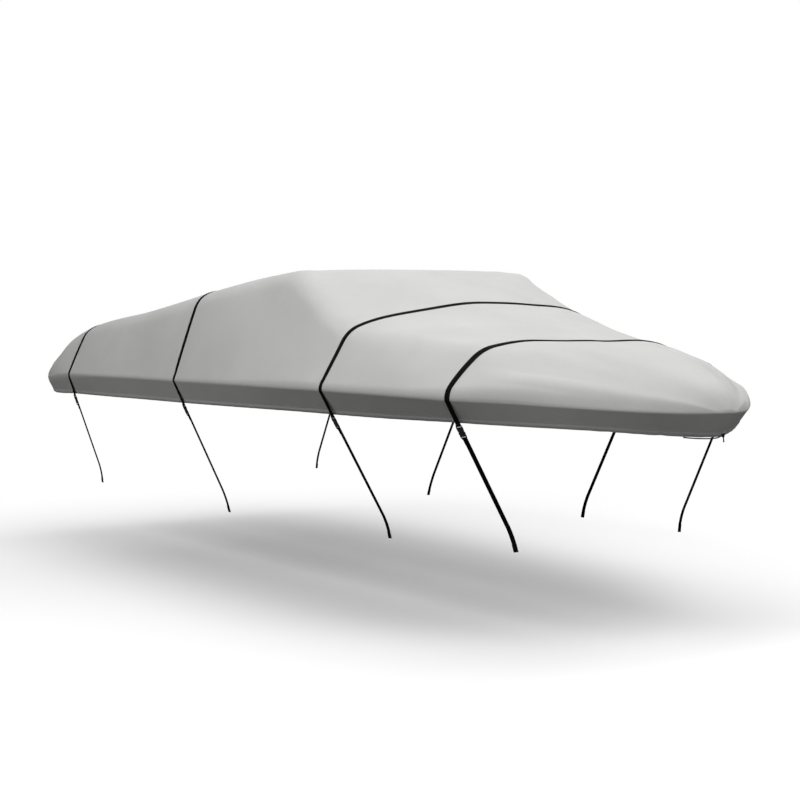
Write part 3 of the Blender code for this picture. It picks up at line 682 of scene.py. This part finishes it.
def over_crease(run, x):
    """Points on the cloth from just below the crease to the start of a strap's straight run."""
    radius = crease_radius(x)
    below = radius * np.array(OVER_CREASE)
    moved = rounded(below, radius, np.array((0.0, 0.0, 1.0)), run["u"], False)
    return run["crease"] + run["u"] * below[:, None] + moved


def build_over_strap(strap, x, grid):
    """The strap over the cover: sewn round a buckle's bar at each end, on the cloth in between,
    where it grows by a smooth step from one layer to the seam's thickness."""
    rows = [int(np.argmin(np.abs(x - (strap["x"] + edge * WEB_WIDTH)))) for edge in (-0.5, 0.5)]
    aft, fore = grid[rows[0]], grid[rows[1]]
    runs = [run_of(strap, side) for _, side in SIDES]
    corners = [over_crease(run, strap["x"]) for run in runs]
    cloth = np.concatenate((corners[0][::-1], (aft + fore) / 2, corners[1]))
    width = [np.tile(run["v"], (len(corner), 1)) for run, corner in zip(runs, corners)]
    across = np.concatenate((width[0], unit(fore - aft), width[1]))
    steps = unit(np.diff(cloth, axis=0))
    way = unit(np.concatenate((steps[:1], steps[1:] + steps[:-1], steps[-1:])))
    reach = along(cloth)
    sewn = smooth_step(*SEAM_FROM, np.minimum(reach, reach[-1] - reach))
    thickness = WEB_THICKNESS + (SEWN_THICKNESS - WEB_THICKNESS) * sewn
    centre = cloth + unit(np.cross(across, way)) * (GAP + thickness[:, None] / 2)

    first = RIBBON_STEP + OVER_CREASE[-1] * float(crease_radius(strap["x"]))
    tails = []
    for run in runs:
        bar = run["buckle_top"] + BUCKLE_BAR / 2
        tails.append(in_run(run, np.concatenate((
            straight(first, bar - SEWN_END), straight(bar - SEWN_END, bar, CLOSE_STEP),
            placed(turned_end(BAR_RADIUS, SETTLE), bar)))))
    before, after = len(tails[0]), len(tails[1])
    line = np.concatenate((tails[0][::-1], centre, tails[1]))
    across = np.concatenate((np.tile(runs[0]["v"], (before, 1)), across,
                             np.tile(runs[1]["v"], (after, 1))))
    thickness = np.pad(thickness, (before, after), constant_values=WEB_THICKNESS)
    piece = ribbon(f"strap_over_{strap['name']}_webbing", line, across, thickness)
    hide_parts(f"strap_over_{strap['name']}")


def build_lower_strap(strap, side_name, run):
    """The tie-down strap from the buckle's lower bar, over the trailer's rail in a parabola, to its
    hemmed end."""
    bar = run["buckle_top"] + BUCKLE_LENGTH - BUCKLE_BAR / 2
    start = placed(turned_end(BAR_RADIUS, SETTLE) * (-1.0, 1.0), bar)[::-1]
    angle, length, fall = strap["bend_angle"], run["length"], strap["fall"]
    half = placed(((ON_RAIL * fall, 0.0),), length, 0.0, angle / 2)[0]
    end = placed((((1 - ON_RAIL) * fall, 0.0),), *half, angle)[0]
    before = np.array((length - RAIL_BEND, 0.0))
    after = placed(((RAIL_BEND, 0.0),), *half, angle)[0]
    corner = (np.array((length, 0.0)) + half) / 2
    bend = parabola(before, corner, after, np.linspace(0.0, 1.0, 12)[:, None])
    path = np.concatenate((start, straight(bar + CLOSE_STEP, bar + SEWN_END, CLOSE_STEP),
                           straight(bar + SEWN_END, length - RAIL_BEND), bend,
                           placed(turned_end(FOLD_RADIUS, 0.0), *end, angle)))
    name = f"strap_lower_{strap['name']}_{side_name}"
    piece = ribbon(f"{name}_webbing", in_run(run, path), np.tile(run["v"], (len(path), 1)))
    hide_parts(name)


# ---------------------------------------------------------------- buckles

# Along the buckle, from its upper bar to its lower one: place as a share of half the length, half
# thickness as a share of the body's, and width as a share of the full one.
BUCKLE_LINES = (
    (-1.0, 0.34, 0.90), (-0.955, 0.36, 0.98), (-0.909, 0.36, 1.0), (-0.752, 0.66, 1.0),
    (-0.70, 0.86, 1.0), (-0.56, 1.0, 1.0), (-0.36, 1.0, 0.97), (-0.16, 1.0, 0.92),
    (-0.10, 0.80, 0.91), (-0.04, 0.80, 0.91), (0.02, 1.0, 0.93), (0.22, 1.0, 0.97),
    (0.44, 1.0, 1.0), (0.60, 1.0, 1.0), (0.70, 0.86, 1.0), (0.752, 0.66, 1.0),
    (0.909, 0.36, 1.0), (0.955, 0.36, 0.98), (1.0, 0.34, 0.90),
)
BUCKLE_CUTS = (-1.0, -0.776, -0.52, -0.26, 0.0, 0.26, 0.52, 0.776, 1.0)
BUCKLE_CROWN = 0.20        # how much thinner the body is at its sides than in the middle
SLOT_LINES = (2, -3)       # the cells that are open for the webbing, counted from either end
WINDOW_LINES = (10, 12)    # the cells at each side that are open for the release arms
ARM_OUT = 0.40             # place of a release arm's ends, as a share of the buckle's width
ARM_BOW = 0.055            # how far its middle bows out, on the same scale
ARM_LENGTH = 0.4625        # as a share of half the buckle's length
ARM_HALF_SECTION = (0.0022, 0.0027)


def buckle_points():
    """Corners (lines, cuts, 2, 3) of the buckle's cells: z = +/- half thickness (1 - crown x^2)."""
    y, thick, width = np.array(BUCKLE_LINES).T
    cuts = np.array(BUCKLE_CUTS)
    x = cuts[None, :] * width[:, None] * BUCKLE_WIDTH / 2
    z = thick[:, None] * BUCKLE_THICKNESS / 2 * (1 - BUCKLE_CROWN * cuts[None, :] ** 2)
    flat = np.stack((x, np.broadcast_to(y[:, None] * BUCKLE_LENGTH / 2, x.shape)), axis=2)
    return np.stack([np.concatenate((flat, sign * z[..., None]), axis=2) for sign in (-1, 1)],
                    axis=2)


def solid_cells():
    """Which cells of the plate are filled: all but the two slots and the two side windows."""
    solid = np.ones((len(BUCKLE_LINES) - 1, len(BUCKLE_CUTS) - 1), bool)
    solid[list(SLOT_LINES), 1:-1] = False
    solid[WINDOW_LINES[0]:WINDOW_LINES[1], [0, -1]] = False
    return solid


def buckle_faces(solid):
    """Quads of the plate: both faces of each filled cell, and a wall where its neighbour is empty."""
    lines, cuts = solid.shape[0] + 1, solid.shape[1] + 1
    index = np.arange(lines * cuts * 2).reshape(lines, cuts, 2)
    padded = np.pad(solid, 1)
    j, i = np.nonzero(solid)
    corners = [(j, i), (j, i + 1), (j + 1, i + 1), (j + 1, i)]
    faces = [np.stack([index[a, b, 1] for a, b in corners], axis=1),
             np.stack([index[a, b, 0] for a, b in corners[::-1]], axis=1)]
    for k, (dj, di) in enumerate(((-1, 0), (0, 1), (1, 0), (0, -1))):
        bare = ~padded[j + 1 + dj, i + 1 + di]
        near, far = [index[a[bare], b[bare]] for a, b in (corners[k], corners[(k + 1) % 4])]
        faces.append(np.stack((near[:, 0], far[:, 0], far[:, 1], near[:, 1]), axis=1))
    return np.concatenate(faces)


def release_arms():
    """The two arms of the buckle's other half that show in its side windows: a section whose points
    are (cos, sin) to the power 0.6 with their signs, carried along a sine bow and tapered as
    sine^0.25 of the way along it.  Returns points, quads and end faces."""
    t = np.linspace(0.0, 1.0, 15)
    turn = np.linspace(0.0, 2 * math.pi, 16, endpoint=False)
    circle = np.stack((np.cos(turn), np.sin(turn)), axis=1)
    section = np.sign(circle) * np.abs(circle) ** 0.6 * ARM_HALF_SECTION
    taper = np.sin(math.pi * np.clip(t, 0.02, 0.98)) ** 0.25
    out = BUCKLE_WIDTH * (ARM_OUT + ARM_BOW * np.sin(math.pi * t))
    down = ARM_LENGTH * t * BUCKLE_LENGTH / 2
    arms = [np.stack(np.broadcast_arrays(side * out[:, None] + taper[:, None] * section[:, 0],
                                         down[:, None], taper[:, None] * section[:, 1]), axis=2)
            for side in (-1, 1)]
    rows, cols = len(t), len(turn)
    one = grid_faces(rows, cols, close_cols=True)
    ring = np.arange(cols)
    caps = [(row * cols + ring[::order]).tolist()
            for row, order in ((0, 1), (rows - 1, -1), (rows, 1), (2 * rows - 1, -1))]
    return np.concatenate(arms).reshape(-1, 3), np.concatenate((one, one + rows * cols)), caps


def build_buckle(strap, side_name, run):
    """The buckle between the webbing's two turned ends, laid along its run."""
    middle = in_run(run, ((run["buckle_top"] + BUCKLE_LENGTH / 2, BAR_RADIUS),))[0]
    axes = np.stack((np.cross(run["u"], run["n"]), run["u"], run["n"]))
    node = f"buckle_{strap['name']}_{side_name}"
    body = make_piece(f"{node}_body", buckle_points().reshape(-1, 3) @ axes + middle,
                      buckle_faces(solid_cells()), plastic_material())
    smooth = body.modifiers.new("moulded corners", "SUBSURF")
    smooth.levels = smooth.render_levels = 2
    points, faces, caps = release_arms()
    arms = make_piece(f"{node}_release_arms", points @ axes + middle, faces, plastic_material(),
                      caps=caps)
    for piece in (body, arms):
        outward_normals(piece)
    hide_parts(node)


# ---------------------------------------------------------------- draw cord

CORD_SIDES = 14
CORD_STEP = 0.004
TAIL_STEP = 0.0015
TAIL_FLARE = 0.12          # how much wider the tail's cut end is
KNOT_DRAWN = 0.92          # how much thinner the cord is where the knot is drawn tight
KNOT_SIZE = (0.00235, 0.0042, 0.0026)
KNOT_TAIL = ((0.0, 0.001, -0.002), (0.001, 0.002, -0.012), (0.000, 0.0045, -0.021),
             (-0.002, 0.008, -0.031))


def smooth_route(points, spacing):
    """Points about `spacing` apart on a smooth curve (Catmull-Rom) through the given ones."""
    p = np.asarray(points, float)
    p = np.concatenate((2 * p[:1] - p[1:2], p, 2 * p[-1:] - p[-2:-1]))
    route = [p[1:2]]
    for a, b, c, d in zip(p, p[1:], p[2:], p[3:]):
        steps = max(1, round(float(np.linalg.norm(c - b)) / spacing))
        t = (np.arange(1, steps + 1) / steps)[:, None]
        route.append(0.5 * (2 * b + (c - a) * t + (2 * a - 5 * b + 4 * c - d) * t**2
                            + (3 * b - a - 3 * c + d) * t**3))
    return np.concatenate(route)


def tube(line, radius):
    """Points (n, sides, 3) of a tube round a line: centre + radius (across cos + up sin), where each
    ring is turned from the last one's by the least angle."""
    way = unit(np.gradient(line, axis=0))
    across = np.zeros_like(way)
    across[0] = unit(np.cross(way[0], (0.3, 0.2, 1.0)))
    for k in range(1, len(way)):
        across[k] = unit(across[k - 1] - way[k] * (across[k - 1] @ way[k]))
    up = np.cross(way, across)
    angle = np.linspace(0.0, 2 * math.pi, CORD_SIDES, endpoint=False)[None, :, None]
    radius = np.broadcast_to(radius, len(line))[:, None, None]
    ring = across[:, None] * np.cos(angle) + up[:, None] * np.sin(angle)
    return line[:, None] + radius * ring


def tube_piece(name, line, radius):
    """A closed tube of cord, with its braid's map on (length, share of the turn)."""
    rows = len(line)
    share = np.linspace(0.0, 1.0, CORD_SIDES + 1)[None]
    uv = pairs(along(line)[:, None], share)[grid_faces(rows, CORD_SIDES + 1)]
    ring = np.arange(CORD_SIDES)
    caps = [ring.tolist(), ((rows - 1) * CORD_SIDES + ring[::-1]).tolist()]
    piece = make_piece(name, tube(line, radius), grid_faces(rows, CORD_SIDES, close_cols=True),
                       cord_material(), uv, caps)
    outward_normals(piece)
    return piece


def build_draw_cord():
    """The cord's end under the bow's hem, and the overhand knot that keeps it from slipping back, the
    curve (sin t + 2 sin 2t, -sin 3t, cos t - 2 cos 2t), with a short tail."""
    route = smooth_route(CORD_ROUTE, CORD_STEP)
    cord = tube_piece("draw_cord_end", route, CORD_RADIUS)
    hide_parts("draw_cord")
    t = np.linspace(0.0, 2 * math.pi, 97)[:-1]
    loop = np.stack((np.sin(t) + 2 * np.sin(2 * t), -np.sin(3 * t), np.cos(t) - 2 * np.cos(2 * t)),
                    axis=1) * KNOT_SIZE
    knot = tube_piece("draw_cord_knot_turns", loop + KNOT_CENTRE, CORD_RADIUS * KNOT_DRAWN)
    tail_line = smooth_route(np.array(KNOT_TAIL) + KNOT_CENTRE, TAIL_STEP)
    grown = 1.0 + TAIL_FLARE * smooth_step(0.8, 1.0, np.linspace(0.0, 1.0, len(tail_line)))
    tail = tube_piece("draw_cord_tail", tail_line, CORD_RADIUS * grown)
    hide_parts("draw_cord_knot")


# ---------------------------------------------------------------- shader nodes

def new_group(name, inputs, outputs):
    """An empty shader node group with named sockets: inputs (label, kind, value or None) and outputs
    (label, kind).  Returns the group and its two end nodes."""
    group = bpy.data.node_groups.new(name, "ShaderNodeTree")
    for label, kind, value in inputs:
        socket = group.interface.new_socket(label, in_out="INPUT", socket_type=f"NodeSocket{kind}")
        if value is not None:
            socket.default_value = value
    for label, kind in outputs:
        group.interface.new_socket(label, in_out="OUTPUT", socket_type=f"NodeSocket{kind}")
    return group, group.nodes.new("NodeGroupInput"), group.nodes.new("NodeGroupOutput")


def math_node(tree, operation, *values):
    """A Math node fed by sockets or numbers; returns its output."""
    node = tree.nodes.new("ShaderNodeMath")
    node.operation = operation
    for socket, value in zip(node.inputs, values):
        if isinstance(value, (int, float)):
            socket.default_value = value
        else:
            tree.links.new(value, socket)
    return node.outputs[0]


def sine_node(tree, value, factor):
    """sin(value x factor)."""
    return math_node(tree, "SINE", math_node(tree, "MULTIPLY", value, factor))


def split_node(tree, vector):
    """The X and Y outputs of a vector."""
    node = tree.nodes.new("ShaderNodeSeparateXYZ")
    tree.links.new(vector, node.inputs[0])
    return node.outputs["X"], node.outputs["Y"]


def noise_node(tree, vector, scale, detail=3.0, roughness=0.5, stretch=None):
    """A Noise Texture on a vector, stretched first if asked; returns its factor."""
    if stretch is not None:
        mapping = tree.nodes.new("ShaderNodeMapping")
        mapping.inputs["Scale"].default_value = stretch
        tree.links.new(vector, mapping.inputs["Vector"])
        vector = mapping.outputs["Vector"]
    noise = tree.nodes.new("ShaderNodeTexNoise")
    for label, value in (("Scale", scale), ("Detail", detail), ("Roughness", roughness)):
        noise.inputs[label].default_value = value
    tree.links.new(vector, noise.inputs["Vector"])
    return noise.outputs[0]


def uv_vector(tree):
    """The piece's own map, made by make_piece."""
    node = tree.nodes.new("ShaderNodeUVMap")
    node.uv_map = UV_NAME
    return node.outputs["UV"]


def object_vector(tree):
    """The piece's own coordinates, in metres."""
    return tree.nodes.new("ShaderNodeTexCoord").outputs["Object"]


def group_node(tree, group, vector, **values):
    """A node group placed in a material on a vector, with its own values."""
    node = tree.nodes.new("ShaderNodeGroup")
    node.node_tree = group
    tree.links.new(vector, node.inputs["Vector"])
    for label, value in values.items():
        node.inputs[label].default_value = value
    return node


def bump_chain(tree, shader, *layers):
    """Bump nodes one after another, each (height, strength, distance), into the shader's Normal."""
    normal = None
    for height, strength, distance in layers:
        node = tree.nodes.new("ShaderNodeBump")
        node.inputs["Strength"].default_value = strength
        node.inputs["Distance"].default_value = distance
        tree.links.new(height, node.inputs["Height"])
        if normal is not None:
            tree.links.new(normal, node.inputs["Normal"])
        normal = node.outputs["Normal"]
    tree.links.new(normal, shader.inputs["Normal"])


def colour_ramp(tree, shader, value, low, high):
    """Base Color from a ramp between two stops, each (place, colour)."""
    node = tree.nodes.new("ShaderNodeValToRGB")
    for element, (place, colour) in zip(node.color_ramp.elements, (low, high)):
        element.position = place
        element.color = (*colour, 1.0)
    tree.links.new(value, node.inputs[0])
    tree.links.new(node.outputs[0], shader.inputs["Base Color"])


def new_material(name, roughness, **constants):
    """A material with its Principled shader's own values; returns material, tree, shader."""
    material = bpy.data.materials.new(name)
    material.use_nodes = True
    tree = material.node_tree
    shader = tree.nodes["Principled BSDF"]
    shader.inputs["Roughness"].default_value = roughness
    for label, value in constants.items():
        shader.inputs[label.replace("_", " ")].default_value = value
    return material, tree, shader


@functools.cache
def weave_group():
    """Plain weave: height = sin(pi u / pitch) sin(pi v / pitch), and slubs, threads thicker in
    places: the mean of a noise stretched along u and one stretched along v."""
    tree, given, out = new_group(
        "plain_weave", (("Vector", "Vector", None), ("Pitch", "Float", 0.001)),
        (("Height", "Float"), ("Slubs", "Float")))
    vector, pitch = given.outputs["Vector"], given.outputs["Pitch"]
    waves = [sine_node(tree, math_node(tree, "DIVIDE", axis, pitch), math.pi)
             for axis in split_node(tree, vector)]
    tree.links.new(math_node(tree, "MULTIPLY", *waves), out.inputs["Height"])
    threads = [noise_node(tree, vector, 1.0, 2.0, 0.6, stretch)
               for stretch in ((18.0, 420.0, 1.0), (420.0, 18.0, 1.0))]
    mean = math_node(tree, "MULTIPLY", math_node(tree, "ADD", *threads), 0.5)
    tree.links.new(mean, out.inputs["Slubs"])
    return tree


@functools.cache
def herringbone_group():
    """Twill ribs that turn at each width: height = sin(2 pi (u + pingpong v) / pitch) and, finer,
    0.3 sin(12 pi v / width)."""
    tree, given, out = new_group(
        "herringbone", (("Vector", "Vector", None), ("Pitch", "Float", 0.003),
                        ("Width", "Float", 0.006)), (("Height", "Float"),))
    u, v = split_node(tree, given.outputs["Vector"])
    pitch, width = given.outputs["Pitch"], given.outputs["Width"]
    slant = math_node(tree, "ADD", u, math_node(tree, "PINGPONG", v, width))
    ribs = sine_node(tree, math_node(tree, "DIVIDE", slant, pitch), 2 * math.pi)
    threads = sine_node(tree, math_node(tree, "DIVIDE", v, width), 12 * math.pi)
    fine = math_node(tree, "MULTIPLY", threads, 0.3)
    tree.links.new(math_node(tree, "ADD", ribs, fine), out.inputs["Height"])
    return tree


# ---------------------------------------------------------------- materials

CLOTH_COLOUR = (0.500, 0.500, 0.492)
CLOTH_TONE = 0.07          # how far the cloth's tone goes below and above its colour


@functools.cache
def cloth_material():
    """Light grey coated polyester: plain weave with slubs, a soft uneven tone and small creases from
    packing."""
    material, tree, shader = new_material("cover cloth", 0.78, Sheen_Weight=0.12,
                                          Sheen_Roughness=0.5, Specular_IOR_Level=0.30)
    weave = group_node(tree, weave_group(), uv_vector(tree), Pitch=0.0009)
    place = object_vector(tree)
    mottle = noise_node(tree, place, 2.6, 3.0, 0.55)
    tone = math_node(tree, "ADD", math_node(tree, "MULTIPLY", mottle, 0.55),
                     math_node(tree, "MULTIPLY", weave.outputs["Slubs"], 0.45))
    low, high = [tuple(share * c for c in CLOTH_COLOUR) for share in (1 - CLOTH_TONE, 1 + CLOTH_TONE)]
    colour_ramp(tree, shader, tone, (0.30, low), (0.70, high))
    creases = noise_node(tree, place, 9.0, 4.0, 0.6)
    bump_chain(tree, shader, (creases, 0.10, 0.010), (weave.outputs["Slubs"], 0.10, 0.001),
               (weave.outputs["Height"], 0.30, 0.0002))
    return material


@functools.cache
def webbing_material():
    """Black polypropylene webbing in a herringbone weave, dull, with painted sheen on its ribs."""
    material, tree, shader = new_material("strap webbing", 0.80, Specular_IOR_Level=0.05)
    ribs = group_node(tree, herringbone_group(), uv_vector(tree), Pitch=0.0032, Width=0.00625)
    height = ribs.outputs["Height"]
    # painted sheen and shade: colour lighter on the ribs' crowns and darker in their grooves, by the
    # bump's height
    colour_ramp(tree, shader, math_node(tree, "MULTIPLY_ADD", height, 0.4, 0.5),
                (0.0, (0.002, 0.002, 0.002)), (1.0, (0.008, 0.008, 0.009)))
    bump_chain(tree, shader, (height, 0.5, 0.0003))
    return material


@functools.cache
def cord_material():
    """Black braided cord: strands that cross, sin(a + b) sin(a - b), where a turns once for each
    4.2 mm of length and b four times round the cord.  Its colour follows the strands' height:
    painted sheen on their crowns and painted shade between them."""
    material, tree, shader = new_material("braided cord", 0.58, Specular_IOR_Level=0.4)
    u, v = split_node(tree, uv_vector(tree))
    length = math_node(tree, "MULTIPLY", u, 2 * math.pi / 0.0042)
    turn = math_node(tree, "MULTIPLY", v, 2 * math.pi * 4)
    crossed = [math_node(tree, "SINE", math_node(tree, way, length, turn))
               for way in ("ADD", "SUBTRACT")]
    strands = math_node(tree, "MULTIPLY", *crossed)
    # painted sheen and shade: lighter where the strands stand high, darker between them
    colour_ramp(tree, shader, math_node(tree, "MULTIPLY_ADD", strands, 0.5, 0.5),
                (0.0, (0.007, 0.007, 0.008)), (1.0, (0.028, 0.028, 0.030)))
    bump_chain(tree, shader, (strands, 0.6, 0.0005))
    return material


@functools.cache
def plastic_material():
    """Black moulded acetal: a fine spark-eroded grain and slightly uneven gloss, 0.30 + 0.2 cloud."""
    material, tree, shader = new_material("buckle plastic", 0.40, Specular_IOR_Level=0.5)
    place = object_vector(tree)
    grain = noise_node(tree, place, 1800.0, 2.0, 0.5)
    cloud = noise_node(tree, place, 60.0, 3.0, 0.5)
    colour_ramp(tree, shader, cloud, (0.3, (0.012, 0.012, 0.013)), (0.7, (0.020, 0.020, 0.021)))
    gloss = math_node(tree, "ADD", math_node(tree, "MULTIPLY", cloud, 0.2), 0.30)
    tree.links.new(gloss, shader.inputs["Roughness"])
    bump_chain(tree, shader, (grain, 0.15, 0.0002))
    return material


# ---------------------------------------------------------------- floor and light

FLOOR_Z = -1.78
FLOOR_SIZE = 400.0
FLOOR_FADE = (2.4, 5.6)    # distance from the middle over which the floor turns white
FLOOR_GLOW = 0.10
FLOOR_BOUNCE = 0.19        # share of light that it throws back on the cover
FLOOR_SEEN = 0.92          # and to the camera
BACKGROUND = 1.0           # what the camera sees behind the cover
AMBIENT = 0.03             # what lights the cover from all round
WHITE = (1.0, 1.0, 1.0, 1.0)
# Area lights: name, place, aimed at, width, height, power in watts
LIGHTS = (
    ("overhead", (0.5, 0.0, 6.0), (0.0, 0.0, 0.0), 8.0, 5.0, 230.0),
    ("above_bow", (6.0, 0.0, 5.5), (0.6, 0.0, -0.3), 4.0, 4.0, 225.0),
    ("before_bow", (8.5, -1.0, 2.2), (0.6, 0.0, -0.4), 4.0, 3.0, 55.0),
    ("starboard_bow", (7.5, -5.5, 2.5), (0.6, 0.0, -0.4), 4.0, 3.0, 80.0),
    ("starboard", (0.0, -6.5, 5.0), (0.0, 0.0, -0.4), 6.0, 3.0, 385.0),
    ("port", (0.0, 7.0, 4.5), (0.0, 0.0, -0.4), 6.0, 3.0, 300.0),
    ("port_bow", (6.0, 5.0, 3.5), (0.6, 0.0, -0.4), 4.0, 3.0, 35.0),
    ("port_stern", (-7.0, 5.0, 3.5), (-1.5, 0.5, -0.5), 4.0, 3.0, 90.0),
)


def make_floor():
    """A pale floor that throws little of its light back up; away from the cover it fades into the
    white of the studio, by a smooth step of the distance from the middle."""
    half = FLOOR_SIZE / 2
    corners = ((-half, -half), (half, -half), (half, half), (-half, half))
    mesh = bpy.data.meshes.new("floor")
    mesh.from_pydata([(x, y, FLOOR_Z) for x, y in corners], [], [(0, 1, 2, 3)])
    floor = bpy.data.objects.new("floor", mesh)
    bpy.context.scene.collection.objects.link(floor)
    material, tree, shader = new_material("pale floor", 0.9, Specular_IOR_Level=0.0)
    seen = tree.nodes.new("ShaderNodeLightPath").outputs["Is Camera Ray"]
    colour_ramp(tree, shader, seen, (0.0, (FLOOR_BOUNCE,) * 3), (1.0, (FLOOR_SEEN,) * 3))
    shader.inputs["Emission Color"].default_value = WHITE
    tree.links.new(math_node(tree, "MULTIPLY", seen, FLOOR_GLOW), shader.inputs["Emission Strength"])
    far = tree.nodes.new("ShaderNodeEmission")
    tree.links.new(math_node(tree, "MULTIPLY", seen, BACKGROUND), far.inputs["Strength"])
    reach = tree.nodes.new("ShaderNodeVectorMath")
    reach.operation = "LENGTH"
    tree.links.new(object_vector(tree), reach.inputs[0])
    share = tree.nodes.new("ShaderNodeMapRange")
    share.interpolation_type = "SMOOTHSTEP"
    share.inputs["From Min"].default_value, share.inputs["From Max"].default_value = FLOOR_FADE
    tree.links.new(reach.outputs["Value"], share.inputs["Value"])
    mix = tree.nodes.new("ShaderNodeMixShader")
    mixed = (share.outputs["Result"], shader.outputs[0], far.outputs[0])
    for socket, output in zip(mix.inputs, mixed):
        tree.links.new(output, socket)
    tree.links.new(mix.outputs[0], tree.nodes["Material Output"].inputs["Surface"])
    mesh.materials.append(material)


def make_world():
    """White to the camera, and a little light from all round: its strength is
    ambient + (background - ambient) x seen by the camera."""
    world = bpy.data.worlds.new("studio")
    world.use_nodes = True
    tree = world.node_tree
    background = tree.nodes["Background"]
    background.inputs["Color"].default_value = WHITE
    seen = tree.nodes.new("ShaderNodeLightPath").outputs["Is Camera Ray"]
    strength = math_node(tree, "MULTIPLY", seen, BACKGROUND - AMBIENT)
    tree.links.new(math_node(tree, "ADD", strength, AMBIENT), background.inputs["Strength"])
    bpy.context.scene.world = world


def make_lights():
    """The area lights of the table, each turned to what it is aimed at."""
    for name, place, aim, width, height, power in LIGHTS:
        data = bpy.data.lights.new(name, "AREA")
        data.shape = "RECTANGLE"
        data.size, data.size_y = width, height
        data.energy = power
        light = bpy.data.objects.new(name, data)
        bpy.context.scene.collection.objects.link(light)
        light.location = place
        way = Vector(aim) - Vector(place)
        light.rotation_euler = way.to_track_quat("-Z", "Y").to_euler()


# ---------------------------------------------------------------- the whole

def main():
    """Camera and cord first, then the cloth, and on it each strap with its two ends and buckles."""
    make_camera()
    build_draw_cord()
    x, grid = build_cover()
    for record in STRAPS:
        strap = dict(zip(STRAP_COLUMNS, record))
        build_over_strap(strap, x, grid)
        for side_name, side in SIDES:
            run = run_of(strap, side)
            build_lower_strap(strap, side_name, run)
            build_buckle(strap, side_name, run)
    make_floor()
    make_world()
    make_lights()
    bpy.context.scene.view_settings.view_transform = "Standard"


main()
